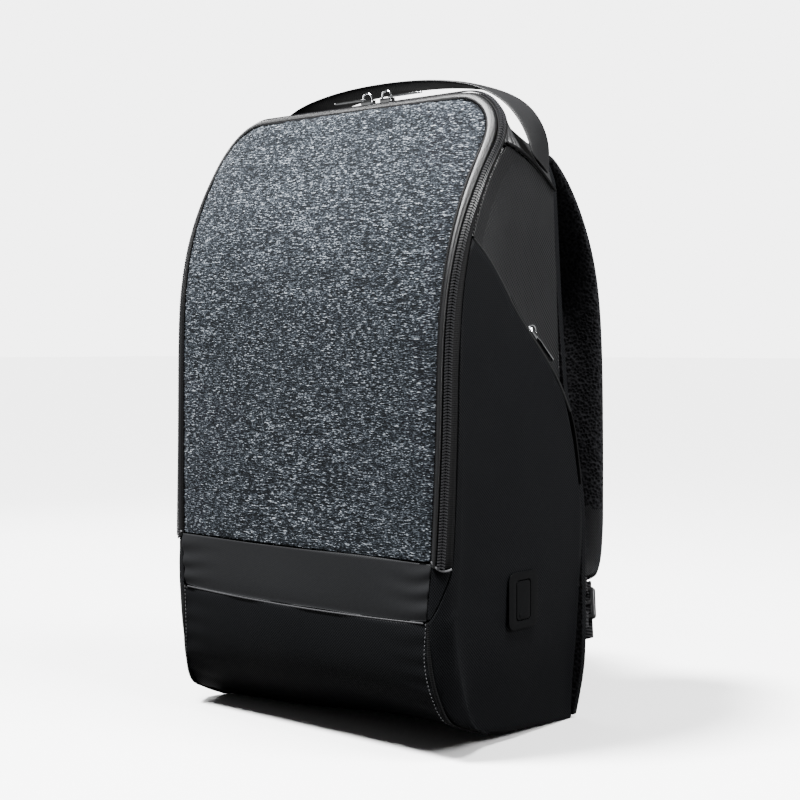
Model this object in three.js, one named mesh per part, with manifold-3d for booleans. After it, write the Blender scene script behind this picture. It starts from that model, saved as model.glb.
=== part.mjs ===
// A standing backpack with a padded front panel, sewn from wall patches that share one outer form.
// Millimetres. X is across, -Y is the front, +Z is up. The right side of the bag is +X.
import * as THREE from 'three';
import { mergeVertices } from 'three/addons/utils/BufferGeometryUtils.js';
import Module from 'manifold-3d';

const manifoldLibrary = await Module();
manifoldLibrary.setup();

// Body
const BODY_HALF_WIDTH = 138;
const BODY_HEIGHT = 461;
const BODY_DEPTH = 166;
const FRONT_FACE_Y = -116;
const BACK_FACE_Y = FRONT_FACE_Y + BODY_DEPTH;
const SIDE_CORNER_RADIUS = 18;
const BOTTOM_SIDE_RADIUS = 44;
const TOP_CORNER_RADIUS = 40;
const BOTTOM_CORNER_RADIUS = 14;
const FRONT_BOTTOM_RADIUS = 62;
const SIDE_BULGE = 3.5;
const TOP_BULGE = 4;
const SHOULDER_SAG = 8;
const TOE_LIFT = 16;
const TOE_START_Y = -30;

// Back outline
const BACK_TOP_HEIGHT = 441;
const BACK_TOP_RADIUS = 43;
const BACK_UPPER_INSET = 28;
const BACK_UPPER_HALF_WIDTH = BODY_HALF_WIDTH - BACK_UPPER_INSET;
const BACK_RECESS_INSET = 17;
const BACK_RECESS_HALF_WIDTH = BODY_HALF_WIDTH - BACK_RECESS_INSET;
const RECESS_BOTTOM_HEIGHT = 164;
const BACK_INSET = 2;
const BACK_HALF_WIDTH = BODY_HALF_WIDTH - BACK_INSET;

// Front
const BAND_TOP_HEIGHT = 135;
const BAND_BOTTOM_HEIGHT = 95;
const BAND_SAG = 2.5;
const FRONT_CROWN = 3;
const ZIP_END_HEIGHT = 132;

// Walls and gaps
const PANEL_WALL = 3;
const SIDE_WALL = 2.4;
const BACK_WALL = 9;
const SEAM_GAP = 0.35;
const BASE_SEAM_GAP = 0.9;
const BASE_CORNER_GAP = 2.4;
const SEAM_THINNING = 0.45;
const ZIP_SEAM_GAP = 1.1;
const SIDE_SEAM_GAP = 0.6;

// Binding and zip along the front panel
const BINDING_RISE = 2.2;
const BINDING_WALL = 2;
const BINDING_WIDTH = 4.2;
const BINDING_CORNER_WIDTH = 9.5;
const ZIP_WIDTH = 9.5;
const ZIP_WALL = 1.6;
const ZIP_COIL_RISE = 1.3;

// Side pocket
const POCKET_TUCK = 16;
const POCKET_ZIP_WALL = 1.4;
const POCKET_ZIP_LEAST = 1;

// Handle
const HANDLE_WIDTH = 40;
const HANDLE_THICKNESS = 3.6;
const HANDLE_HEIGHT = 481;
const HANDLE_STAND_OFF = 0.8;
const HANDLE_FOOT_GAP = 0.6;
const HANDLE_TOP_Y = -5;
const HANDLE_FOOT_Y = 7;

// Shoulder straps
const STRAP_WIDTH = 64;
const STRAP_THICKNESS = 11;
const STRAP_REACH = 86;
const STRAP_HEIGHT = 433;

// Webbing and ladder locks
const WEBBING_WIDTH = 22;
const WEBBING_THICKNESS = 1.5;
const LOCK_WIDTH = 31;
const LOCK_HEIGHT = 27;
const LOCK_THICKNESS = 3.6;
const LOCK_BAR = 3.4;
const ANCHOR_INSET = 22;
const ANCHOR_X = BODY_HALF_WIDTH - ANCHOR_INSET;
const ANCHOR_Z = 62;
const ANCHOR_WIDTH = 28;
const ANCHOR_HEIGHT = 18;
const ANCHOR_THICKNESS = 3;

// Charging port patch on the right side
const PORT_WIDTH = 35;
const PORT_HEIGHT = 40;
const PORT_Y = -29.5;
const PORT_Z = 101;
const PORT_THICKNESS = 2.2;
const PORT_CORNER_RADIUS = 6;
const PORT_GROOVE = 0.9;
const PORT_COVER_WIDTH = 16;
const PORT_COVER_HEIGHT = 27;
const PORT_TAB_WIDTH = 10;
const PORT_TAB_HEIGHT = 3;

// Zip sliders and their pulls
const SLIDER_LENGTH = 11;
const SLIDER_WIDTH = 7.5;
const SLIDER_HEIGHT = 3;
const BRIDGE_RADIUS = 4.6;
const BRIDGE_BAR = 1.5;
const PULL_LENGTH = 33;
const PULL_WIDTH = 5.6;
const PULL_THICKNESS = 1.3;
const PULL_CLEARANCE = 0.3;
const PULL_RIM = 1.4;
const FRONT_SLIDER_X = [6, 25];
const POCKET_SLIDER_Y = -18;

const { lerp, clamp } = THREE.MathUtils;
const RIGHT_ANGLE = Math.PI / 2;

// Fabric and hard finishes
const finish = (color, roughness, metalness = 0) =>
  new THREE.MeshStandardMaterial({ color, roughness, metalness });
const heatherCloth = finish(0x4a4e57, 0.9);
const coatedCloth = finish(0x1c1d1f, 0.55);
const darkCloth = finish(0x151617, 0.7);
const meshCloth = finish(0x202124, 0.95);
const mouldedRubber = finish(0x0f0f10, 0.5);
const darkChrome = finish(0x3c3d40, 0.2, 1);
const lockPlastic = finish(0x141415, 0.45);

// Smooth curve through the rows of a short table, read by one column and giving another
function readTable(rows, from, to) {
  const last = rows.length - 1;
  const slopeAt = (i) => {
    const a = rows[Math.max(i - 1, 0)];
    const b = rows[Math.min(i + 1, last)];
    return (b[to] - a[to]) / (b[from] - a[from]);
  };
  return (value) => {
    if (value <= rows[0][from]) {
      return rows[0][to];
    }
    if (value >= rows[last][from]) {
      return rows[last][to];
    }
    let i = 0;
    while (rows[i + 1][from] < value) {
      i += 1;
    }
    const span = rows[i + 1][from] - rows[i][from];
    const t = (value - rows[i][from]) / span;
    const rise = rows[i + 1][to] - rows[i][to];
    const a = slopeAt(i) * span;
    const b = slopeAt(i + 1) * span;
    return rows[i][to] + a * t + (3 * rise - 2 * a - b) * t * t + (a + b - 2 * rise) * t * t * t;
  };
}

// Side view of the front: lean is a share of the body depth, height of the body height
const FRONT_PROFILE = [
  { height: 0.0, lean: 0.0 },
  { height: 0.29, lean: 0.004 },
  { height: 0.46, lean: 0.010 },
  { height: 0.64, lean: 0.016 },
  { height: 0.71, lean: 0.030 },
  { height: 0.78, lean: 0.068 },
  { height: 0.86, lean: 0.150 },
  { height: 0.90, lean: 0.212 },
  { height: 0.95, lean: 0.292 },
  { height: 1.0, lean: 0.345 },
];
const leanShare = readTable(FRONT_PROFILE, 'height', 'lean');
const frontY = (z) => FRONT_FACE_Y + BODY_DEPTH * leanShare(z / BODY_HEIGHT);

// The outline that the front, side and top walls share, seen from the front.
// A station is a point of it with its outward direction:
// turn -1 is the underside, 0 the side, 1 the top.
function sideStation(z) {
  const low = clamp(1 - z / BAND_BOTTOM_HEIGHT, 0, 1);
  const round = lerp(SIDE_CORNER_RADIUS, BOTTOM_SIDE_RADIUS, low ** 1.5);
  return { x: BODY_HALF_WIDTH, z, nx: 1, nz: 0, round, turn: 0 };
}

function topCornerStation(share) {
  const angle = share * RIGHT_ANGLE;
  const nx = Math.cos(angle);
  const nz = Math.sin(angle);
  return {
    x: BODY_HALF_WIDTH - TOP_CORNER_RADIUS * (1 - nx),
    z: BODY_HEIGHT - TOP_CORNER_RADIUS * (1 - nz),
    nx,
    nz,
    round: SIDE_CORNER_RADIUS,
    turn: share,
  };
}

function topStation(share) {
  const x = lerp(BODY_HALF_WIDTH - TOP_CORNER_RADIUS, 0, share);
  return { x, z: BODY_HEIGHT, nx: 0, nz: 1, round: SIDE_CORNER_RADIUS, turn: 1, across: share };
}

function bottomCornerStation(share) {
  const angle = -share * RIGHT_ANGLE;
  const nx = Math.cos(angle);
  const nz = Math.sin(angle);
  return {
    x: BODY_HALF_WIDTH - BOTTOM_CORNER_RADIUS * (1 - nx),
    z: BOTTOM_CORNER_RADIUS * (1 + nz),
    nx,
    nz,
    round: lerp(sideStation(BOTTOM_CORNER_RADIUS).round, FRONT_BOTTOM_RADIUS, share * share),
    turn: -share,
  };
}

// Front lip of the form: length 0 is where the flat front starts to round over
function onLip(station, length) {
  const angle = clamp(length / station.round, 0, RIGHT_ANGLE);
  const inward = station.round * (1 - Math.sin(angle));
  const z = station.z - station.nz * inward;
  const beyond = Math.max(0, length - station.round * RIGHT_ANGLE);
  const front = station.turn < 0 ? FRONT_FACE_Y : frontY(z);
  return new THREE.Vector3(
    station.x - station.nx * inward,
    front + station.round * (1 - Math.cos(angle)) + beyond,
    z,
  );
}

// Where the front panel ends on the lip, as a share of the corner radius,
// and how wide the binding is there, as a share of its usual width
const EDGE_ON_SIDE = [
  { height: 0.0, length: 0.66667, binding: 1.0 },
  { height: 0.2, length: 0.05556, binding: 1.0 },
  { height: 0.29, length: 0.23333, binding: 1.0 },
  { height: 0.46, length: 0.38889, binding: 1.0 },
  { height: 0.64, length: 0.47778, binding: 1.05 },
  { height: 0.78, length: 0.69444, binding: 1.35 },
  { height: 0.91, length: 0.94444, binding: 2.1 },
];
const edgeShareOnSide = readTable(EDGE_ON_SIDE, 'height', 'length');
const bindingShareOnSide = readTable(EDGE_ON_SIDE, 'height', 'binding');
const EDGE_TOP_SHARE = 0.88889;
const BINDING_TOP_SHARE = 1.6;
const edgeLength = (station) => SIDE_CORNER_RADIUS
  * lerp(edgeShareOnSide(station.z / BODY_HEIGHT), EDGE_TOP_SHARE, Math.max(station.turn, 0));
function bindingWidth(station) {
  const wide = bindingShareOnSide(station.z / BODY_HEIGHT) * BINDING_WIDTH;
  const side = Math.min(wide, BINDING_CORNER_WIDTH);
  return lerp(side, BINDING_TOP_SHARE * BINDING_WIDTH, Math.max(station.turn, 0));
}
const sideEdgeLength = (station) =>
  edgeLength(station) + bindingWidth(station) + ZIP_WIDTH + ZIP_SEAM_GAP;

// Stations up the right side, round the top corner and along the top to the middle
const CORNER_STEPS = 5;
const TOP_STEPS = 3;
function stationsFrom(lowZ, sideSteps) {
  const stations = [];
  const highZ = BODY_HEIGHT - TOP_CORNER_RADIUS;
  for (let i = 0; i < sideSteps; i += 1) {
    stations.push(sideStation(lerp(lowZ, highZ, i / sideSteps)));
  }
  for (let i = 0; i <= CORNER_STEPS; i += 1) {
    stations.push(topCornerStation(i / CORNER_STEPS));
  }
  return stations;
}

const bagMiddle = new THREE.Vector3(0, (FRONT_FACE_Y + BACK_FACE_Y) / 2, BODY_HEIGHT / 2);
const mirrorPoint = (p) => new THREE.Vector3(-p.x, p.y, p.z);

// Closed body from points and triangles, with its faces turned outwards
function solidFrom(points, triangles) {
  const positions = new Float32Array(points.length * 3);
  points.forEach((p, i) => positions.set([p.x, p.y, p.z], i * 3));
  let volume = 0;
  const cross = new THREE.Vector3();
  for (const [a, b, c] of triangles) {
    cross.crossVectors(points[b], points[c]);
    volume += points[a].dot(cross);
  }
  const turned = volume < 0 ? triangles.map(([a, b, c]) => [a, c, b]) : triangles;
  const geometry = new THREE.BufferGeometry();
  geometry.setAttribute('position', new THREE.BufferAttribute(positions, 3));
  geometry.setIndex(turned.flat());
  return geometry;
}

function gridNormals(grid) {
  const rows = grid.length;
  const columns = grid[0].length;
  const alongRow = new THREE.Vector3();
  const alongColumn = new THREE.Vector3();
  return grid.map((row, j) => row.map((_, i) => {
    alongRow.subVectors(row[Math.min(i + 1, columns - 1)], row[Math.max(i - 1, 0)]);
    alongColumn.subVectors(grid[Math.min(j + 1, rows - 1)][i], grid[Math.max(j - 1, 0)][i]);
    return new THREE.Vector3().crossVectors(alongRow, alongColumn).normalize();
  }));
}

// A closed shell between two grids of points with the same rows and columns
function shell(outerGrid, innerGrid) {
  const rows = outerGrid.length;
  const columns = outerGrid[0].length;
  const triangles = [];
  const quad = (a, b, c, d) => triangles.push([a, b, c], [a, c, d]);
  const shift = rows * columns;
  const outer = (j, i) => j * columns + i;
  const inner = (j, i) => shift + j * columns + i;
  const endRow = rows - 1;
  const endColumn = columns - 1;
  for (let j = 0; j < endRow; j += 1) {
    for (let i = 0; i < endColumn; i += 1) {
      quad(outer(j, i), outer(j, i + 1), outer(j + 1, i + 1), outer(j + 1, i));
      quad(inner(j, i), inner(j + 1, i), inner(j + 1, i + 1), inner(j, i + 1));
    }
    quad(outer(j, 0), outer(j + 1, 0), inner(j + 1, 0), inner(j, 0));
    quad(outer(j + 1, endColumn), outer(j, endColumn), inner(j, endColumn), inner(j + 1, endColumn));
  }
  for (let i = 0; i < endColumn; i += 1) {
    quad(outer(0, i + 1), outer(0, i), inner(0, i), inner(0, i + 1));
    quad(outer(endRow, i), outer(endRow, i + 1), inner(endRow, i + 1), inner(endRow, i));
  }
  return solidFrom([...outerGrid.flat(), ...innerGrid.flat()], triangles);
}

// A wall: a grid of outer points and its inner side, which lies a thickness nearer the bag's middle
function wall(grid, thicknessAt, inside = bagMiddle) {
  const normals = gridNormals(grid);
  const row = grid.length >> 1;
  const column = grid[0].length >> 1;
  const toInside = new THREE.Vector3().subVectors(inside, grid[row][column]);
  const sign = normals[row][column].dot(toInside) > 0 ? 1 : -1;
  const inner = grid.map((points, j) => points.map((p, i) =>
    p.clone().addScaledVector(normals[j][i], sign * thicknessAt(j, i))));
  return shell(grid, inner);
}

// A loft through closed rings with the same number of points
function loft(rings) {
  const count = rings[0].length;
  const points = rings.flat();
  const triangles = [];
  for (let j = 0; j < rings.length - 1; j += 1) {
    for (let i = 0; i < count; i += 1) {
      const next = (i + 1) % count;
      triangles.push([j * count + i, j * count + next, (j + 1) * count + next]);
      triangles.push([j * count + i, (j + 1) * count + next, (j + 1) * count + i]);
    }
  }
  const last = (rings.length - 1) * count;
  for (let i = 1; i < count - 1; i += 1) {
    triangles.push([0, i + 1, i], [last, last + i, last + i + 1]);
  }
  return solidFrom(points, triangles);
}

// A flat strap with soft edges, swept along rows of centre, direction across, outward direction and sizes
const SOFT_SECTION = [
  { across: -0.5, out: 0.0 },
  { across: -0.43, out: 0.5 },
  { across: 0.43, out: 0.5 },
  { across: 0.5, out: 0.0 },
  { across: 0.43, out: -0.5 },
  { across: -0.43, out: -0.5 },
];
const FLAT_SECTION = [
  { across: -0.5, out: 0.5 },
  { across: 0.5, out: 0.5 },
  { across: 0.5, out: -0.5 },
  { across: -0.5, out: -0.5 },
];
function strapGeometry(rows, section) {
  return loft(rows.map((row) => section.map((corner) => row.centre.clone()
    .addScaledVector(row.side, corner.across * row.width)
    .addScaledVector(row.out, corner.out * row.thickness))));
}

const group = new THREE.Group();
function addPiece(name, geometry, material) {
  const mesh = new THREE.Mesh(geometry, material);
  mesh.name = name;
  group.add(mesh);
  return mesh;
}
const SIDES = [{ name: 'right', sign: 1 }, { name: 'left', sign: -1 }];

// A front row from the left edge to the right edge: nearly flat, then rolling to the edge point
const ROW_ROLL_POWER = 7;
const FRONT_COLUMNS = [-1, -0.93, -0.78, -0.4, 0, 0.4, 0.78, 0.93, 1];
function frontRow(middle, edge, columns = FRONT_COLUMNS) {
  return columns.map((u) => {
    const roll = Math.abs(u) ** ROW_ROLL_POWER;
    const crown = FRONT_CROWN * (1 - u * u);
    return new THREE.Vector3(
      u * edge.x,
      lerp(middle.y, edge.y, roll) - crown,
      lerp(middle.z, edge.z, roll),
    );
  });
}

// Front lip over the middle of the top edge, at a given height
function frontMiddle(z) {
  const lipBottom = BODY_HEIGHT - SIDE_CORNER_RADIUS;
  if (z <= lipBottom) {
    return new THREE.Vector3(0, frontY(z), z);
  }
  const angle = Math.asin(1 - (BODY_HEIGHT - z) / SIDE_CORNER_RADIUS);
  return new THREE.Vector3(0, frontY(z) + SIDE_CORNER_RADIUS * (1 - Math.cos(angle)), z);
}

function makeFrontPanel() {
  const stations = stationsFrom(BAND_TOP_HEIGHT + SEAM_GAP, 8);
  const rows = stations.map((station) => {
    const edge = onLip(station, edgeLength(station) - SEAM_GAP);
    return frontRow(frontMiddle(edge.z), edge);
  });
  return wall(rows, () => PANEL_WALL);
}

function makeFrontBand() {
  const rows = [];
  const steps = 4;
  for (let i = 0; i <= steps; i += 1) {
    const share = i / steps;
    const z = lerp(BAND_BOTTOM_HEIGHT + SEAM_GAP, BAND_TOP_HEIGHT - SEAM_GAP, share);
    const station = sideStation(z);
    const edge = onLip(station, edgeLength(station) - SEAM_GAP);
    const middle = new THREE.Vector3(0, frontY(z), z - BAND_SAG * (1 - share));
    rows.push(frontRow(middle, edge));
  }
  return wall(rows, () => PANEL_WALL);
}

// The seam between base and side: height of the middle of the row, and the lip place of its end
const BASE_SEAM = [
  { middle: 1.0, side: 1.0, corner: 0, turn: 0.03 },
  { middle: 0.72, side: 0.66, corner: 0, turn: 0.2 },
  { middle: 0.45, side: 0.36, corner: 0, turn: 0.4 },
  { middle: 0.24, side: 0, corner: 0.3, turn: 0.56 },
  { middle: 0.1, side: 0, corner: 0.6, turn: 0.74 },
  { middle: 0.025, side: 0, corner: 0.85, turn: 0.9 },
  { middle: 0, side: 0, corner: 1, turn: 1 },
];
function baseSeamStation(row) {
  if (row.side > 0) {
    return sideStation(row.side * BAND_BOTTOM_HEIGHT);
  }
  return bottomCornerStation(row.corner);
}

function baseSeamPoint(row, gap) {
  const station = baseSeamStation(row);
  return onLip(station, row.turn * RIGHT_ANGLE * station.round + gap);
}

function baseMiddle(share) {
  const z = share * BAND_BOTTOM_HEIGHT;
  if (z >= FRONT_BOTTOM_RADIUS) {
    return new THREE.Vector3(0, FRONT_FACE_Y, z);
  }
  const angle = Math.asin(1 - z / FRONT_BOTTOM_RADIUS);
  return new THREE.Vector3(0, FRONT_FACE_Y + FRONT_BOTTOM_RADIUS * (1 - Math.cos(angle)), z);
}

// The front of the underside curves up clear of the floor
function liftToe(p) {
  const forward = clamp((TOE_START_Y - p.y) / (TOE_START_Y - FRONT_FACE_Y), 0, 1);
  const low = clamp(1 - p.z / BAND_BOTTOM_HEIGHT, 0, 1);
  p.z += TOE_LIFT * forward ** 1.3 * low ** 2;
}

function makeBasePanel() {
  const rows = BASE_SEAM.map((row, i) => {
    const edge = baseSeamPoint(row, -BASE_SEAM_GAP);
    edge.x -= BASE_CORNER_GAP * Math.sqrt(row.corner);
    const middle = baseMiddle(row.middle);
    if (i === 0) {
      middle.z -= BAND_SAG + SEAM_GAP;
      edge.z -= SEAM_GAP;
    }
    const points = frontRow(middle, edge);
    const flat = 1 - row.middle;
    points.forEach((p, k) => {
      const u = FRONT_COLUMNS[k];
      p.y += flat * FRONT_CROWN * (1 - u * u);
    });
    return points;
  });
  const last = rows[rows.length - 1];
  const steps = 3;
  for (let i = 1; i <= steps; i += 1) {
    const share = i / steps;
    const y = (p) => lerp(p.y, BACK_FACE_Y - SEAM_GAP, share);
    rows.push(last.map((p) => new THREE.Vector3(p.x, y(p), p.z)));
  }
  const end = FRONT_COLUMNS.length - 1;
  rows.flat().forEach(liftToe);
  return wall(rows, (j, i) => (i === 0 || i === end ? SEAM_THINNING : 1) * SIDE_WALL);
}

// Binding and zip: strips on the lip, from one zip end up, over and down to the other
function stripGrid(start, end, profile) {
  const right = stationsFrom(ZIP_END_HEIGHT, 10);
  const top = [];
  for (let i = 1; i <= TOP_STEPS; i += 1) {
    top.push(topStation(i / TOP_STEPS));
  }
  const half = [...right, ...top];
  const rowOf = (station) => {
    const from = start(station);
    const to = end(station);
    return profile.map(({ across }) => onLip(station, lerp(from, to, across)));
  };
  const rows = half.map(rowOf);
  const mirrored = rows.slice(0, -1).reverse().map((row) => row.map(mirrorPoint));
  const grid = [...rows, ...mirrored];
  const normals = gridNormals(grid);
  const check = new THREE.Vector3().subVectors(grid[2][0], bagMiddle);
  const sign = normals[2][0].dot(check) > 0 ? 1 : -1;
  return grid.map((row, j) => row.map((p, i) =>
    p.clone().addScaledVector(normals[j][i], sign * profile[i].rise)));
}

const ROLLED_PROFILE = [
  { across: 0, rise: 0 },
  { across: 0.28, rise: 0.92 * BINDING_RISE },
  { across: 0.72, rise: 0.92 * BINDING_RISE },
  { across: 1, rise: 0 },
];
const ZIP_PROFILE = [
  { across: 0, rise: ZIP_COIL_RISE },
  { across: 0.5, rise: ZIP_COIL_RISE },
  { across: 0.62, rise: 0 },
  { across: 1, rise: 0 },
];
const zipStart = (station) => edgeLength(station) + bindingWidth(station);

function makeBinding() {
  const grid = stripGrid(edgeLength, (s) => zipStart(s) - SEAM_GAP, ROLLED_PROFILE);
  return wall(grid, () => BINDING_WALL);
}

function makeZip() {
  const grid = stripGrid(zipStart, (s) => zipStart(s) + ZIP_WIDTH, ZIP_PROFILE);
  return wall(grid, () => ZIP_WALL);
}

// Front edge of the side below the zip end: it sweeps forward to meet the band's lower corner
const SWEEP_POWER = 0.55;
const sweepShare = (z) =>
  clamp((z - BAND_BOTTOM_HEIGHT) / (ZIP_END_HEIGHT - BAND_BOTTOM_HEIGHT), 0, 1) ** SWEEP_POWER;

const GUSSET_STEPS = 5;
const GUSSET_LOWEST = BAND_BOTTOM_HEIGHT + 2;
const gussetZ = (j) => lerp(GUSSET_LOWEST, ZIP_END_HEIGHT - SEAM_GAP, j / GUSSET_STEPS);

function makeGusset() {
  const rows = [];
  for (let j = 0; j <= GUSSET_STEPS; j += 1) {
    const z = gussetZ(j);
    const station = sideStation(z);
    const from = edgeLength(station) + SEAM_GAP;
    const to = lerp(edgeLength(station), sideEdgeLength(station), sweepShare(z)) - 1.5 * SEAM_GAP;
    rows.push([0, 0.33, 0.67, 1].map((u) => onLip(station, lerp(from, Math.max(to, from + 0.5), u))));
  }
  return wall(rows, () => SIDE_WALL);
}

// Side walls: x from depth along the side. The pocket stands proud,
// the upper side leans in towards the back.
const RECESS_PROFILE = [
  { height: 0.0, half: 1.0 },
  { height: 0.4, half: 0.62 },
  { height: 1.0, half: 0.0 },
];
const recessShare = readTable(RECESS_PROFILE, 'height', 'half');
function upperBackX(z) {
  const top = BODY_HEIGHT - TOP_CORNER_RADIUS;
  const share = clamp((z - RECESS_BOTTOM_HEIGHT) / (top - RECESS_BOTTOM_HEIGHT), 0, 1);
  return lerp(BACK_UPPER_HALF_WIDTH, BACK_RECESS_HALF_WIDTH, recessShare(share));
}

// Pocket mouth: depth is a share of the body depth from the front, height of the body height
const POCKET_MOUTH = [
  { depth: 0.11, height: 0.777 },
  { depth: 0.22, height: 0.756 },
  { depth: 0.32, height: 0.722 },
  { depth: 0.40, height: 0.690 },
  { depth: 0.48, height: 0.656 },
  { depth: 0.645, height: 0.603 },
  { depth: 0.77, height: 0.560 },
  { depth: 0.86, height: 0.520 },
  { depth: 0.94, height: 0.464 },
  { depth: 0.975, height: 0.408 },
  { depth: 1.0, height: 0.335 },
];
const mouthShare = readTable(POCKET_MOUTH, 'depth', 'height');
const mouthZ = (y) => BODY_HEIGHT * mouthShare((y - FRONT_FACE_Y) / BODY_DEPTH);

function sideStart(z) {
  const station = sideStation(z);
  return onLip(station, sideEdgeLength(station));
}

function pocketX(y, z) {
  const start = sideStart(z);
  const share = clamp((y - start.y) / (BACK_FACE_Y - start.y), 0, 1);
  const low = clamp(z / BODY_HEIGHT, 0, 1);
  return start.x + lerp(SIDE_BULGE, 0.4 * SIDE_BULGE, low) * Math.sin(share * Math.PI * 0.9);
}

function upperX(y, z) {
  const start = sideStart(z);
  const share = clamp((y - start.y) / (BACK_FACE_Y - start.y), 0, 1);
  const eased = share ** 1.15;
  return lerp(start.x, upperBackX(z), eased) + SIDE_BULGE * Math.sin(share * Math.PI) * 0.6;
}

// Lower side: rows from the seam with the base round the bottom corner and up to the pocket mouth
const SIDE_COLUMNS = 8;
const LIP_COLUMNS = 3;
function pocketRow(front, station) {
  const row = [];
  const corner = station.round * RIGHT_ANGLE;
  for (let i = 0; i < LIP_COLUMNS; i += 1) {
    row.push(onLip(station, lerp(front, Math.max(corner, front), i / LIP_COLUMNS)));
  }
  const start = onLip(station, Math.max(corner, front));
  for (let i = 0; i <= SIDE_COLUMNS; i += 1) {
    const y = lerp(start.y, BACK_FACE_Y - SEAM_GAP, i / SIDE_COLUMNS);
    const swell = pocketX(y, start.z) - (station.turn === 0 ? start.x : BODY_HALF_WIDTH);
    row.push(new THREE.Vector3(start.x + (1 + station.turn) * swell, y, start.z));
  }
  row.forEach((p) => {
    p.x += BASE_CORNER_GAP * Math.sqrt(Math.max(-station.turn, 0));
  });
  return row;
}

function makePocket() {
  const grid = [];
  const seam = [...BASE_SEAM].reverse();
  for (const entry of seam) {
    const station = baseSeamStation(entry);
    grid.push(pocketRow(entry.turn * RIGHT_ANGLE * station.round + BASE_SEAM_GAP, station));
  }
  const frontTop = mouthZ(FRONT_FACE_Y) - SEAM_GAP;
  const heights = [];
  for (let j = 0; j <= GUSSET_STEPS; j += 1) {
    heights.push(gussetZ(j));
  }
  const upperSteps = 8;
  for (let j = 1; j <= upperSteps; j += 1) {
    heights.push(lerp(ZIP_END_HEIGHT, frontTop, j / upperSteps));
  }
  const template = grid[grid.length - 1];
  for (const height of heights) {
    const share = (height - BAND_BOTTOM_HEIGHT) / (frontTop - BAND_BOTTOM_HEIGHT);
    grid.push(template.map((base, i) =>
      sideColumnPoint(i / (template.length - 1), base.z, frontTop, share)));
  }
  const seamRows = seam.length + GUSSET_STEPS;
  grid.flat().forEach(liftToe);
  const onSeam = (j, i) => j === 0 || (i === 0 && j < seamRows);
  return wall(grid, (j, i) => (onSeam(j, i) ? SEAM_THINNING : 1) * SIDE_WALL);
}

// A point of the lower side above the base: across runs from the front edge back, up to the pocket mouth
function sideColumnPoint(across, lowZ, frontTop, share) {
  let z = lerp(lowZ, frontTop, share);
  let point = null;
  for (let pass = 0; pass < 3; pass += 1) {
    const station = sideStation(z);
    const front = lerp(edgeLength(station), sideEdgeLength(station), sweepShare(z)) + SEAM_GAP;
    const corner = Math.max(station.round * RIGHT_ANGLE, front);
    const cornerShare = LIP_COLUMNS / (SIDE_COLUMNS + LIP_COLUMNS);
    if (across < cornerShare) {
      point = onLip(station, lerp(front, corner, across / cornerShare));
    } else {
      const start = onLip(station, corner);
      const back = (across - cornerShare) / (1 - cornerShare);
      const y = lerp(start.y, BACK_FACE_Y - SEAM_GAP, back);
      point = new THREE.Vector3(pocketX(y, z), y, z);
    }
    z = lerp(lowZ, mouthZ(point.y) - SEAM_GAP, share);
  }
  point.z = z;
  return point;
}

function sideTopZ(depthShare) {
  return lerp(BODY_HEIGHT - TOP_CORNER_RADIUS, BACK_TOP_HEIGHT - BACK_TOP_RADIUS, depthShare ** 1.4);
}

function makeUpperSide() {
  const grid = [];
  const steps = 7;
  const columns = 8;
  const tuckAt = (depthShare) => POCKET_TUCK * clamp((depthShare - 0.2) / 0.3, 0, 1);
  for (let j = 0; j <= steps; j += 1) {
    const row = [];
    for (let i = 0; i <= columns; i += 1) {
      const back = i / columns;
      let z = BODY_HEIGHT * 0.8;
      let y = 0;
      for (let pass = 0; pass < 4; pass += 1) {
        y = lerp(sideStart(z).y + SEAM_GAP, BACK_FACE_Y - SEAM_GAP, back);
        const low = mouthZ(y) + SEAM_GAP - tuckAt(back);
        z = lerp(low, sideTopZ(back) - SIDE_SEAM_GAP, j / steps);
      }
      row.push(new THREE.Vector3(upperX(y, z), y, z));
    }
    grid.push(row);
  }
  return wall(grid, (j) => (j === steps ? SEAM_THINNING : 1) * SIDE_WALL);
}

// Top: from the zip back to the back outline, and from one side seam over to the other
function backPoint(turn, across) {
  const angle = turn * RIGHT_ANGLE;
  const cornerX = BACK_UPPER_HALF_WIDTH - BACK_TOP_RADIUS;
  const x = turn < 1 ? cornerX + BACK_TOP_RADIUS * Math.cos(angle) : lerp(cornerX, 0, across);
  const z = BACK_TOP_HEIGHT - BACK_TOP_RADIUS * (1 - Math.sin(angle));
  return new THREE.Vector3(x, BACK_FACE_Y - SEAM_GAP, z);
}

function makeTopPanel() {
  const columns = 8;
  const topRow = (station, backEnd) => {
    const start = onLip(station, sideEdgeLength(station) + SEAM_GAP);
    const row = [];
    for (let i = 0; i <= columns; i += 1) {
      const share = i / columns;
      const p = start.clone().lerp(backEnd, share);
      const sag = SHOULDER_SAG * Math.sin(station.turn * Math.PI) * Math.sin(share ** 0.7 * Math.PI);
      const lift = TOP_BULGE * station.turn * Math.sin(share * Math.PI) - sag;
      p.x += station.nx * lift;
      p.z += station.nz * lift;
      if (station.turn === 0) {
        p.z = sideTopZ(share) + SIDE_SEAM_GAP;
        p.x = upperX(p.y, p.z);
      }
      row.push(p);
    }
    return row;
  };
  const rows = [];
  for (let i = 0; i <= CORNER_STEPS; i += 1) {
    const station = topCornerStation(i / CORNER_STEPS);
    rows.push(topRow(station, backPoint(station.turn, 0)));
  }
  for (let i = 1; i <= TOP_STEPS; i += 1) {
    rows.push(topRow(topStation(i / TOP_STEPS), backPoint(1, i / TOP_STEPS)));
  }
  const mirrored = rows.slice(0, -1).reverse().map((row) => row.map(mirrorPoint));
  const end = 2 * rows.length - 2;
  const edge = (j) => j === 0 || j === end;
  return wall([...rows, ...mirrored], (j) => (edge(j) ? SEAM_THINNING : 1) * SIDE_WALL);
}

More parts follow.
